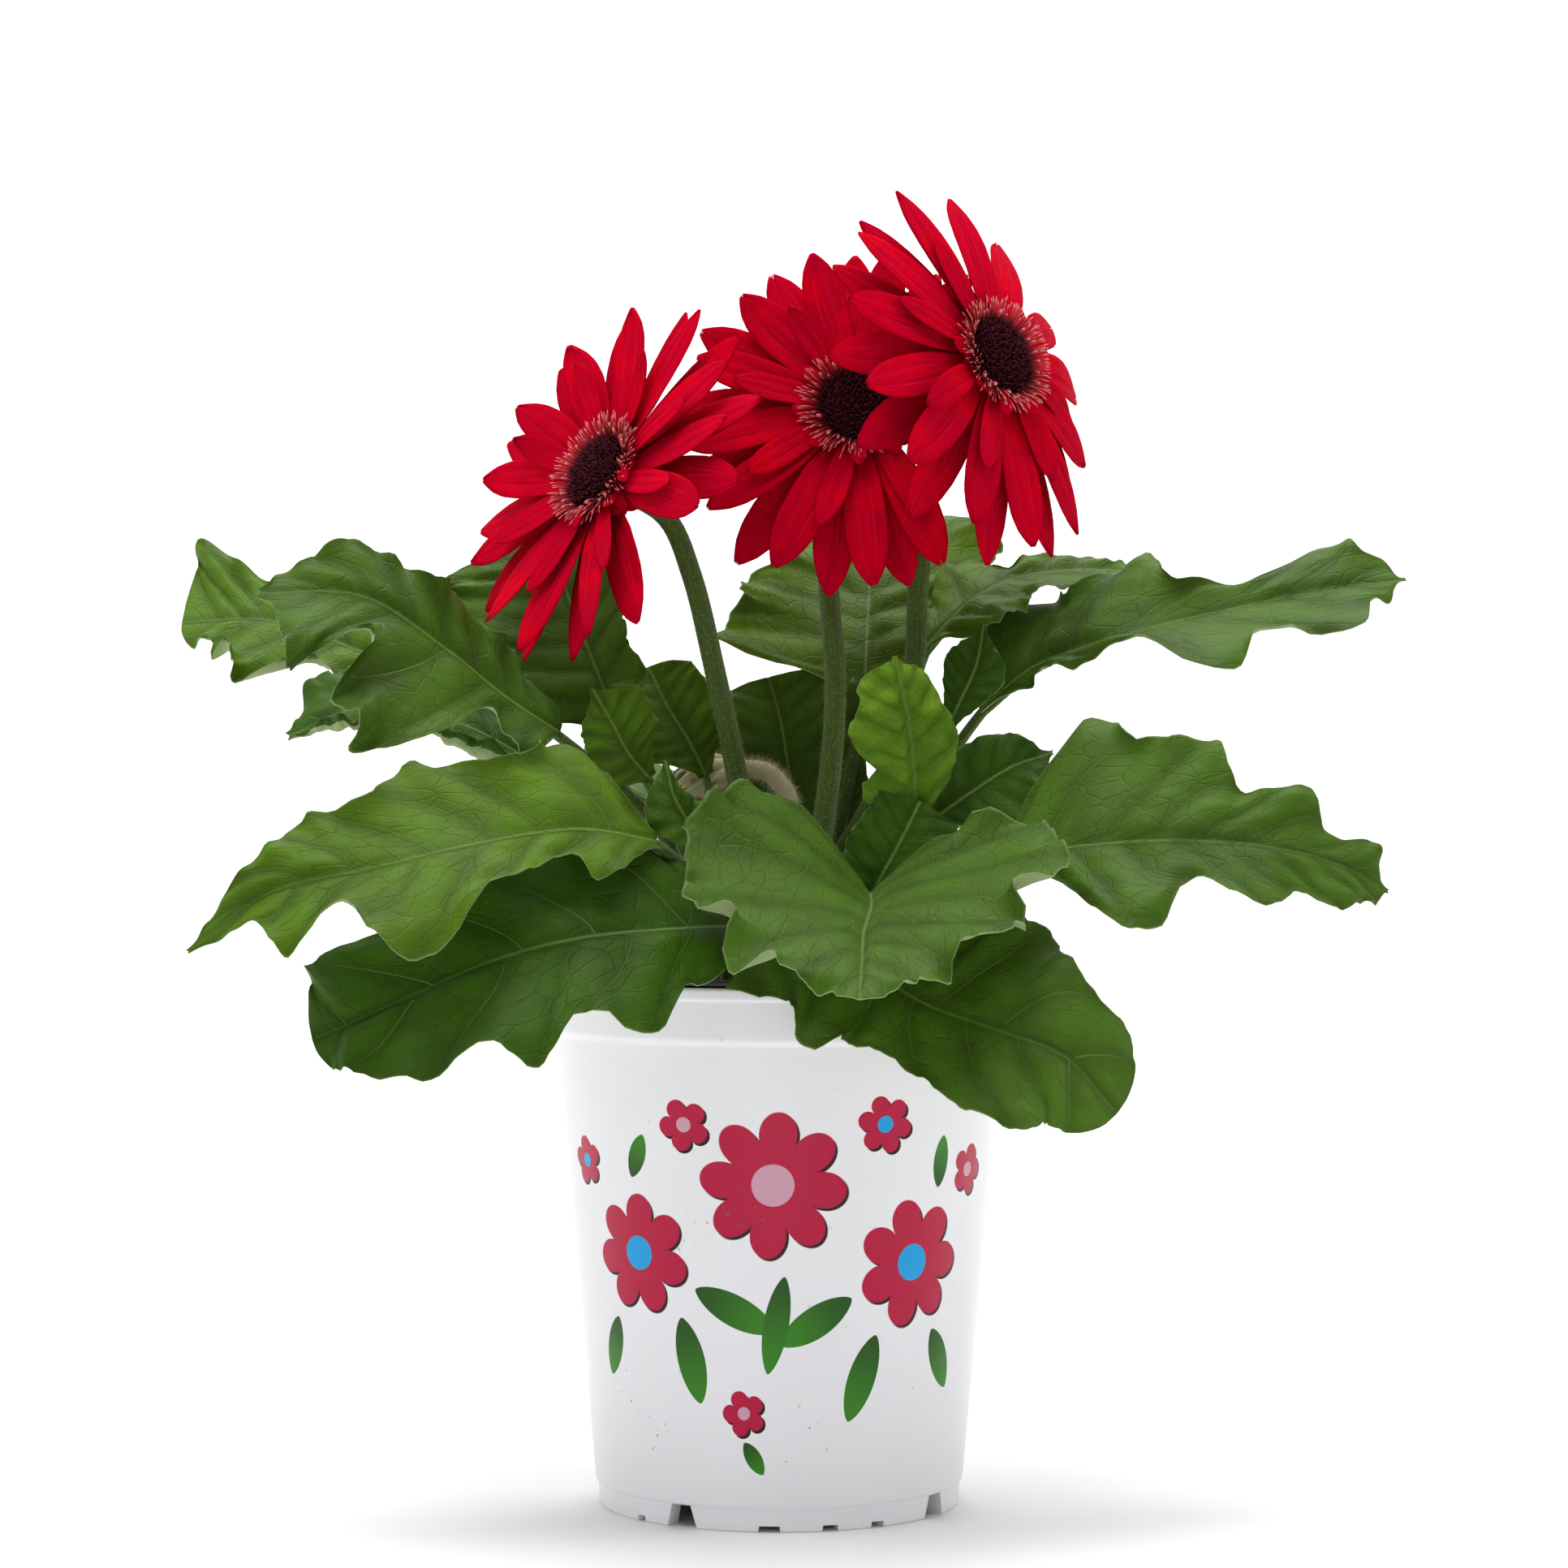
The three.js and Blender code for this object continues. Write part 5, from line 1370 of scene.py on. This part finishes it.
def ring_tree(name):
    """Copies of a piece in a ring round +Z, each a little different. Form Spread varies both the size of
    a copy and which way it looks."""
    t = Tree(name, Int=["Count"], Object=["Piece"],
             Float=("Radius", "Radius Spread", "Height", "Lean", "Lean Spread", "Form Spread"))
    g = t.given

    def spread(label, shift):
        return t.random(-1.0, 1.0, shift) * g[label]

    index = t.value("GeometryNodeInputIndex")
    turn = (index + t.random(-0.35, 0.35)) * (2 * math.pi / g["Count"])
    return t.circled(turn, g["Radius"] + spread("Radius Spread", 1.0), g["Height"],
                     g["Lean"] + spread("Lean Spread", 2.0), turn + spread("Form Spread", 5.0),
                     1.0 + spread("Form Spread", 3.0))


def spiral_tree(name):
    """Copies of a piece in a sunflower spiral on a dome round +Z."""
    t = Tree(name, Int=["Count"], Object=["Piece"], Float=("Radius", "Height", "Drop", "Lean"))
    g = t.given
    index = t.value("GeometryNodeInputIndex")
    share = t.math("SQRT", (index + 0.5) / g["Count"])
    turn = index * (math.pi * (3 - math.sqrt(5)))
    lean = g["Lean"] * (share * share) + t.random(-0.28, 0.28)
    return t.circled(turn, share * g["Radius"], g["Height"] - g["Drop"] * share ** 3.0, lean, turn,
                     t.random(0.75, 1.25, 4.0))


TREES = {"Hairs": hair_tree, "Crumbs": crumb_tree, "Ring": ring_tree, "Spiral": spiral_tree}


def grow(piece, tree, material, **values):
    """Runs a tree on the piece and keeps the result as its plain mesh."""
    modifier = piece.modifiers.new("grow", "NODES")
    modifier.node_group = bpy.data.node_groups.get(tree) or TREES[tree](tree)
    identifiers = {item.name: item.identifier for item in modifier.node_group.interface.items_tree
                   if item.in_out == "INPUT"}
    for label, value in {**values, "Finish": finish(material)}.items():
        modifier[identifiers[label.replace("_", " ")]] = value
    graph = bpy.context.evaluated_depsgraph_get()
    old = piece.data
    piece.data = bpy.data.meshes.new_from_object(piece.evaluated_get(graph), depsgraph=graph)
    piece.modifiers.clear()
    piece.data.name = piece.name
    bpy.data.meshes.remove(old)


def ring(piece, material, copied, seed, number, out, level, lean, spreads):
    """One ring of copies. spreads: how much their distance, their lean and their form vary."""
    out_spread, lean_spread, form_spread = spreads
    grow(piece, "Ring", material, Count=number, Radius=out * METRE, Radius_Spread=out_spread * METRE,
         Height=level * METRE, Lean=lean, Lean_Spread=lean_spread, Form_Spread=form_spread, Seed=seed,
         Piece=copied)


def haired(piece, seed, material, size, per_cm2, radius, lean):
    """Fine hairs or wool, where the piece is marked as hairy."""
    density = per_cm2 * PER_CM2 * 1
    grow(piece, "Hairs", material, Density=density, Length=size, Radius=radius * METRE, Lean=lean, Seed=seed)


def haired_stalk(piece, seed):
    haired(piece, seed, "stalk hair", sizes().hair, sizes().hairs_per_cm2, **STALK_HAIR)


# ------------------------------------------------------------------ pieces
def settle(piece, slot, *nodes):
    """The finished piece rides on the plant's one body and stands for its solids."""
    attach(piece, "root")
    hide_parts(*nodes)


def linked(name, data):
    """A new object in the scene."""
    piece = bpy.data.objects.new(name, data)
    bpy.context.scene.collection.objects.link(piece)
    return piece


def join(piece, other):
    with bpy.context.temp_override(active_object=piece, selected_editable_objects=[piece, other]):
        bpy.ops.object.join()


def move_mesh(piece, matrix):
    """Takes the mesh from the head's or the bud's own frame, in millimetres, to its place."""
    in_metres = matrix.copy()
    in_metres.translation = matrix.translation * METRE
    piece.data.transform(in_metres)


def bar_piece(name, points, radii, sides, material):
    """A thin bent bar, for the filaments and stubs that stand in rings."""
    shape = Shape()
    tube(shape, catmull(points, np.linspace(0, 1, len(radii))), radii, sides, [1, 0.2, 0], share=True)
    return shape.build(name, [material])


def bract_piece(name, size, width, bow, material):
    """A pointed bract that stands on its foot, with its back outwards."""
    rows, columns = 9, 5
    t, s = np.linspace(0, 1, rows)[:, None], np.linspace(-1, 1, columns)[None]
    half = width * (0.55 + 0.45 * np.sin(math.pi * np.clip(t * 1.3, 0, 1))) * (1 - t**3) + 0.08
    x = bow * np.sin(math.pi * t * 0.8) - 0.35 * half * s**2
    faces, _ = slab_faces(rows, columns)
    skins = [grid(x + offset, s * half, t * size) for offset in (0.2, -0.2)]
    shape = Shape()
    shape.add(np.vstack(skins), faces, place=np.tile(grid(t, s, 0), (2, 1)))
    return shape.build(name, [material])


# ------------------------------------------------------------------ operators, one for each piece or group
class Made(bpy.types.Operator):
    """Shared base of the plant's operators."""

    bl_options = {"REGISTER", "UNDO"}


class GERBERA_OT_stage(Made):
    """Lay the pale floor, curved up at the back, hang the soft lights and set up the camera"""

    bl_idname = "gerbera.stage"
    bl_label = "Stage"

    def execute(self, context):
        scene = context.scene
        scene.view_settings.view_transform = "Standard"
        reach, start, radius = FLOOR["reach"], FLOOR["bend"], FLOOR["radius"]
        turns = [math.radians(90 * step / 16) for step in range(17)]
        side = [(-reach, 0.0), *((start + radius * math.sin(a), radius * (1 - math.cos(a))) for a in turns),
                (start + radius, FLOOR["height"])]
        faces = [(i, i + len(side), i + len(side) + 1, i + 1) for i in range(len(side) - 1)]
        mesh = bpy.data.meshes.new("floor")
        mesh.from_pydata([(x, y, z) for x in (-reach, reach) for y, z in side], [], faces)
        mesh.shade_smooth()
        pale = Finish("pale floor", Roughness=0.75)
        pale.colour(pale.mix(pale.noise(pale.object, 3.0), (0.9, 0.9, 0.9), (0.93, 0.93, 0.93)))
        mesh.materials.append(pale.material)
        floor = linked("floor", mesh)

        world = bpy.data.worlds.new("soft white room")
        world.use_nodes = True
        sky = world.node_tree.nodes["Background"]
        sky.inputs["Color"].default_value = (1, 1, 1, 1)
        sky.inputs["Strength"].default_value = ROOM_LIGHT
        scene.world = world
        for name, (place, aim, size, power) in LIGHTS.items():
            data = bpy.data.lights.new(name, "AREA")
            data.energy, data.size = power, size
            light = linked(name, data)
            light.location = place
            light.rotation_euler = (Vector(aim) - Vector(place)).to_track_quat("-Z", "Y").to_euler()

        data = bpy.data.cameras.new("camera")
        data.sensor_width, data.lens, data.clip_end = CAMERA["sensor"], CAMERA["lens"], CAMERA["far"]
        camera = linked("camera", data)
        camera.location = CAMERA["place"]
        camera.rotation_euler = (math.pi / 2, 0, 0)
        scene.camera = camera
        return {"FINISHED"}


class GERBERA_OT_pot(Made):
    """Turn the white outer pot, with its band, lip, cut foot and drain holes"""

    bl_idname = "gerbera.pot"
    bl_label = "White pot"

    def execute(self, context):
        top, base, foot, height, wall = (POT[key] for key in ("top", "base", "foot", "height", "wall"))
        band, floor, shelf = height - POT["band"], foot + 2, base - 8
        profile = [
            [shelf, foot], [base - 0.8, foot], [base, foot + 0.8], [pot_radius(band), band],
            [top - 1.3, band + 1], [top - 0.7, band + 2.2], [top - 0.7, height - 4.6], [top, height - 3.8],
            [top, height - 0.8], [top - 0.9, height], [top - 2, height], [pot_radius(band) - wall, band],
            [base - wall, floor], [shelf, floor],
        ]
        foot_ring = [[shelf, 0], [base - 2, 0], [base - 1.4, 0.6], [base - 0.9, foot + 0.2],
                     [base - 7, foot + 0.2]]
        material = finish("white pot plastic")
        sides = 192
        shell, foot_and_floor, cuts = Shape(), Shape(), Shape()
        lathe(shell, [profile[0], *rounded(profile, 0.7, 3)[1:]], sides)
        lathe(foot_and_floor, foot_ring, sides)
        lathe(foot_and_floor, [[0, foot], [shelf + 0.5, foot], [shelf + 0.5, floor], [0, floor]], 64)
        for angle, width in FOOT_GAPS:
            foot_cut(cuts, angle, width, foot, 5)
        for angle, width in FOOT_NOTCHES:
            foot_cut(cuts, angle, width, 2.2, 1)
        for angle in DRAIN["azimuths"]:
            x, y = (DRAIN["out"] * f(math.radians(angle)) for f in (math.cos, math.sin))
            lathe(cuts, [[0, floor - 5], [DRAIN["radius"], floor - 5], [DRAIN["radius"], floor + 5],
                         [0, floor + 5]], 32, matrix=Matrix.Translation((x, y, 0)))
        piece = shell.build("white_pot", [material])
        under = foot_and_floor.build("foot and floor", [material])
        cutter = cuts.build("foot cuts", [material])
        cut = under.modifiers.new("cut", "BOOLEAN")
        cut.operation, cut.object, cut.solver = "DIFFERENCE", cutter, "EXACT"
        graph = context.evaluated_depsgraph_get()
        under.data = bpy.data.meshes.new_from_object(under.evaluated_get(graph), depsgraph=graph)
        under.modifiers.clear()
        bpy.data.objects.remove(cutter)
        join(piece, under)
        piece.data.set_sharp_from_angle(angle=math.radians(38))
        settle(piece, "pot_plastic", "pot")
        return {"FINISHED"}


class GERBERA_OT_liner(Made):
    """Turn the dark inner pot, whose rim rests on the white pot's lip"""

    bl_idname = "gerbera.liner"
    bl_label = "Inner pot"

    def execute(self, context):
        wall, top, lip, floor = LINER["wall"], LINER["top"], LINER["lip"], LINER["floor"]
        band = POT["height"] - POT["band"]
        throat = liner_radius(band)
        profile = [
            [0, floor], [liner_radius(floor), floor], [throat, band], [throat, top - lip],
            [throat + LINER["rim"], top - lip], [throat + LINER["rim"], top], [throat - wall, top],
            [throat - wall, band], [liner_radius(floor) - wall, floor + wall], [0, floor + wall],
        ]
        shape = Shape()
        lathe(shape, rounded(profile, 0.6, 3), 144)
        piece = shape.build("inner_pot", [finish("inner pot plastic")], sharp=50)
        settle(piece, "liner_plastic", "liner")
        return {"FINISHED"}


class GERBERA_OT_soil(Made):
    """Fill the inner pot with soil and strew it with crumbs"""

    bl_idname = "gerbera.soil"
    bl_label = "Soil"

    def execute(self, context):
        rng = np.random.default_rng(11)
        bottom = LINER["floor"] + LINER["wall"] + FIT
        shoulder = POT["height"] - POT["band"]
        inner, low = (liner_radius(at) - LINER["wall"] - FIT for at in (shoulder, bottom))
        profile = [[0, bottom], [low, bottom], [inner, shoulder], [inner, SOIL_TOP - 3.6]]
        profile += [[inner * (1 - k / 26), SOIL_TOP - 3.2 + 3 * smoothstep(k / 20)] for k in range(1, 26)]
        shape = Shape()
        lathe(shape, [*profile, [0, SOIL_TOP]], 96)
        x, y, z = shape.points[0].T
        on_top = (z > SOIL_TOP - 3.4) & (np.hypot(x, y) < inner - 1)
        waves = rng.uniform(-0.25, 0.25, (14, 3)) * np.linspace(1, 4, 14)[:, None]
        heave = sum(np.sin(x * a + y * b + 40 * c) for a, b, c in waves) / 6
        z += np.where(on_top, heave, 0)
        shape.hairy[0] = on_top.astype(float)
        piece = shape.build("soil_heap", [finish("potting soil")])
        grow(piece, "Crumbs", "potting soil", Density=sizes().grains * PER_CM2, Size=0.0011, Seed=3)
        settle(piece, "soil", "soil")
        return {"FINISHED"}


class GERBERA_OT_crown(Made):
    """Raise the woolly crown that every stalk grows from"""

    bl_idname = "gerbera.crown"
    bl_label = "Crown"

    def execute(self, context):
        radius, bottom, top = CROWN["radius"], CROWN["bottom"], CROWN["top"]
        edge = SOIL_TOP - 1
        dome = [[radius * math.cos(a), edge + (top - SOIL_TOP + 1) * math.sin(a)]
                for a in np.linspace(0.12, 1.45, 16)]
        shape = Shape()
        lathe(shape, [[0, bottom], [radius - 3, bottom], [radius, edge], *dome, [0, top]], 64)
        x, y, z = shape.points[0].T
        above = z > SOIL_TOP
        z += np.where(above, 0.9 * np.sin(9 * np.arctan2(y, x)) * np.sin(z * 1.7), 0)
        shape.hairy[0] = above.astype(float)
        bark = finish("crown bark")
        piece = shape.build("crown_mound", [bark])
        stub = bar_piece("stub", [[0, 0, 0], [0, 0, 4], [0.6, 0, 9], [1.6, 0, 13]],
                         [1.7, 1.5, 1.2, 0.8, 0.5, 0.2], 7, bark)
        for row, (out, number, lean) in enumerate(((27, 19, 0.5), (19, 13, 0.3), (10, 8, 0.15))):
            level = SOIL_TOP + 1.5 * row
            ring(piece, "crown bark", stub, 20 + row, number, out, level, lean, (2, 0.25, 0.35))
        bpy.data.objects.remove(stub)
        haired(piece, 5, "wool", sizes().wool, **CROWN_WOOL)
        settle(piece, "crown", "crown")
        return {"FINISHED"}


class GERBERA_OT_leaves(Made):
    """Grow the lobed leaves, each with its haired stalk"""

    bl_idname = "gerbera.leaves"
    bl_label = "Leaves"

    def execute(self, context):
        for index, (node, leaf) in enumerate(LEAVES.items()):
            shape = Shape()
            leaf_stalk(shape, leaf, *blade(shape, leaf, np.random.default_rng(100 + index)))
            tone = leaf["colour"]
            # the look's green is painted light and shade: lighter or darker to make up for where the leaf
            # lies
            names = (f"leaf {leaf.get('look', tone)}", "leaf felt", "green stalk")
            piece = shape.build(f"{node}_grown", [finish(name) for name in names])
            haired_stalk(piece, index)
            settle(piece, f"leaf_{tone}", node)
        return {"FINISHED"}


class GERBERA_OT_flower_stalks(Made):
    """Grow the three bare flower stalks with their green cups"""

    bl_idname = "gerbera.flower_stalks"
    bl_label = "Flower stalks"

    def execute(self, context):
        green = finish("green stalk")
        bract = bract_piece("bract", 9.5, 1.7, 0.6, green)
        cup = HEAD["cup"]
        cup_profile = rounded([[0, -cup], [4.4, -cup], [9, -cup * 0.6], [12.2, -2], [12.4, 0], [0, 0]], 3)
        rows = ((4.6, -12.2, 0.88), (7.8, -9.2, 0.8), (10.8, -6, 0.42))
        for index, (name, flower) in enumerate(FLOWERS.items()):
            matrix = head_frame(flower)
            facing = unit(np.array(flower["facing"], float))
            back = np.array(flower["centre"], float) - facing * (HEAD["back"] + cup - 2)
            bottom, top = foot_points(flower["foot"])
            stem = spaced([top, *flower["neck"], back], 70)
            radii = np.r_[4.2, np.linspace(4.1, 3.55, 66), 3.6, 3.7, 3.9, 4.2, 4.6]
            shape = Shape()
            tube(shape, np.vstack([bottom, stem]), radii, 22, [0.2, -1, 0.1], hairy=1.0)
            lathe(shape, cup_profile, 40, hairy=0.5, matrix=matrix)
            piece = shape.build(f"stalk_{name}", [green])
            cups = linked("cup bracts", bpy.data.meshes.new("cup bracts"))
            for row, (out, level, lean) in enumerate(rows):
                ring(cups, "green stalk", bract, 40 + 3 * index + row, sizes().bracts + 2 * row, out, level,
                     lean, (0.3, 0.08, 0.12))
            move_mesh(cups, matrix)
            join(piece, cups)
            haired_stalk(piece, 60 + index)
            settle(piece, "flower_stalk", f"scape_{name}")
        bpy.data.objects.remove(bract)
        return {"FINISHED"}


class GERBERA_OT_rays(Made):
    """Open the red rays in their layers"""

    bl_idname = "gerbera.rays"
    bl_label = "Rays"

    def execute(self, context):
        outer, inner, top = HEAD["ring"], HEAD["ring"] - 7, HEAD["thick"] + FIT
        for index, (name, flower) in enumerate(FLOWERS.items()):
            rng = np.random.default_rng(200 + index)
            matrix = head_frame(flower)
            shape = Shape()
            lathe(shape, [[inner, FIT], [outer, FIT], [outer, top], [inner, top]], 48, matrix=matrix)
            for layer in RAY_LAYERS:
                for number in range(layer["count"]):
                    ray(shape, flower, layer, number, matrix, rng)
            frill(shape, flower, matrix, rng)
            piece = shape.build(f"rays_{name}", [finish("ray"), finish("ray back")])
            settle(piece, "petal", f"petals_{name}")
        return {"FINISHED"}


class GERBERA_OT_discs(Made):
    """Pack the dark florets on each head's disc"""

    bl_idname = "gerbera.discs"
    bl_label = "Discs"

    def execute(self, context):
        shape = Shape()
        lathe(shape, [[0, 0], [0.5, 0.2], [0.52, 1.5], [0.34, 2.4], [0, 3.0]], 5)
        floret = shape.build("floret", [finish("dark florets")])
        base, radius = HEAD["thick"] + 2 * FIT, HEAD["disc"] - 0.6
        profile = rounded([[0, base], [radius, base], [radius, base + 1.6], [radius * 0.7, base + 3.2],
                           [0, base + 3.8]], 2)
        for index, (name, flower) in enumerate(FLOWERS.items()):
            dome = Shape()
            lathe(dome, profile, 40)
            piece = dome.build(f"florets_{name}", [finish("dark florets")])
            grow(piece, "Spiral", "dark florets", Count=sizes().florets, Radius=(radius - 0.4) * METRE,
                 Height=(base + 2.9) * METRE, Drop=0.0022, Lean=0.55, Seed=70 + index, Piece=floret)
            move_mesh(piece, head_frame(flower))
            settle(piece, "flower_disc", f"disc_{name}")
        bpy.data.objects.remove(floret)
        return {"FINISHED"}


class GERBERA_OT_filaments(Made):
    """Ring each disc with its fringe of fine filaments"""

    bl_idname = "gerbera.filaments"
    bl_label = "Filaments"

    def execute(self, context):
        thread = bar_piece("thread", [[0, 0, 0], [0.1, 0, 2.6], [0.4, 0, 5.3], [1.1, 0, 8.1]],
                           [0.38, 0.32, 0.24, 0.19, 0.17, 0.22, 0.08], 5, finish("fringe filaments"))
        tube_floret = bar_piece("tube floret", [[0, 0, 0], [0.2, 0, 2], [0.7, 0, 4.2]],
                                [0.4, 0.45, 0.5, 0.62, 0.3], 5, finish("ray back"))
        base = HEAD["thick"] + 2 * FIT
        inner, outer, top = HEAD["disc"], HEAD["disc"] + 1.8, base + 1.6
        rows = ((14.0, 1.02, 1.0), (13.7, 0.84, 0.9), (13.4, 0.62, 0.6))
        for index, (name, flower) in enumerate(FLOWERS.items()):
            shape = Shape()
            lathe(shape, [[inner, base], [outer, base], [outer, top], [inner, top]], 48, 1)
            piece = shape.build(f"fringe_{name}", [finish("fringe filaments"), finish("dark florets")])
            ring(piece, "ray back", tube_floret, 170 + index, 30, 13.8, base + 0.9, 0.5, (0.7, 0.35, 0.3))
            for row, (out, lean, share) in enumerate(rows):
                ring(piece, "fringe filaments", thread, 80 + 5 * index + row, int(sizes().filaments * share),
                     out, base + 0.7, lean, (0.6, 0.22, 0.16))
            move_mesh(piece, head_frame(flower))
            settle(piece, "filament", f"filaments_{name}")
        bpy.data.objects.remove(thread)
        bpy.data.objects.remove(tube_floret)
        return {"FINISHED"}


class GERBERA_OT_bud(Made):
    """Grow the nodding woolly bud"""

    bl_idname = "gerbera.bud"
    bl_label = "Bud"

    def execute(self, context):
        size, radius = BUD["length"], BUD["radius"]
        facing = unit(np.array(BUD["facing"], float))
        body = [[0, -size / 2], [radius * 0.65, -size * 0.4], [radius * 0.92, -size * 0.1],
                [radius * 0.78, size * 0.25], [radius * 0.36, size * 0.46], [0, size * 0.5]]
        shape = Shape()
        lathe(shape, rounded(body, 4, 5), 32, hairy=0.25)
        piece = shape.build("bud_grown", [finish("bud bracts")])
        bract = bract_piece("bud bract", 15, 2.6, 2.2, finish("bud bracts"))
        rows = ((5.2, -8.2, 0.34, 9), (7.2, -5.4, 0.1, 11), (7.6, -1.5, -0.2, 12), (5.4, 1.2, -0.42, 9))
        for row, (out, level, lean, number) in enumerate(rows):
            ring(piece, "bud bracts", bract, 95 + row, number, out, level, lean, (0.2, 0.07, 0.1))
        bpy.data.objects.remove(bract)
        move_mesh(piece, placed(BUD["centre"], BUD["facing"]))
        bottom, top = foot_points(BUD["foot"])
        tail = np.array(BUD["centre"], float) - facing * size * 0.42
        centres = np.vstack([bottom, spaced([top, *BUD["neck"], tail], 40)])
        stalk = Shape()
        tube(stalk, centres, np.r_[3.1, np.linspace(3, 3.4, 41)], 16, [-0.6, -1, 0.1], hairy=1.0)
        join(piece, stalk.build("bud stalk", [finish("wool")]))
        haired(piece, 99, "wool", sizes().wool, **BUD_WOOL)
        settle(piece, "bud", "bud")
        return {"FINISHED"}


STEPS = (
    GERBERA_OT_stage, GERBERA_OT_pot, GERBERA_OT_liner, GERBERA_OT_soil, GERBERA_OT_crown, GERBERA_OT_leaves,
    GERBERA_OT_flower_stalks, GERBERA_OT_rays, GERBERA_OT_discs, GERBERA_OT_filaments, GERBERA_OT_bud,
)


class GERBERA_PT_panel(bpy.types.Panel):
    """Lists the sizes, the colours and the pieces of the plant"""

    bl_label = "Potted gerbera"
    bl_space_type = "VIEW_3D"
    bl_region_type = "UI"
    bl_category = "Gerbera"

    def draw(self, context):
        for values in (context.scene.gerbera_sizes, context.scene.gerbera_colours):
            box = self.layout.box()
            for name in values.bl_rna.properties.keys():
                if name not in ("rna_type", "name"):
                    box.prop(values, name)
        for step in STEPS:
            self.layout.operator(step.bl_idname)


CLASSES = (GerberaSizes, GerberaColours, *STEPS, GERBERA_PT_panel)


def register():
    for one in CLASSES:
        bpy.utils.register_class(one)
    bpy.types.Scene.gerbera_sizes = bpy.props.PointerProperty(type=GerberaSizes)
    bpy.types.Scene.gerbera_colours = bpy.props.PointerProperty(type=GerberaColours)


def unregister():
    del bpy.types.Scene.gerbera_colours
    del bpy.types.Scene.gerbera_sizes
    for one in reversed(CLASSES):
        bpy.utils.unregister_class(one)


def main():
    """Registers the add-on and makes every piece in order."""
    register()
    for step in STEPS:
        group, name = step.bl_idname.split(".")
        getattr(getattr(bpy.ops, group), name)()
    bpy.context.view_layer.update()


if __name__ == "__main__":
    main()
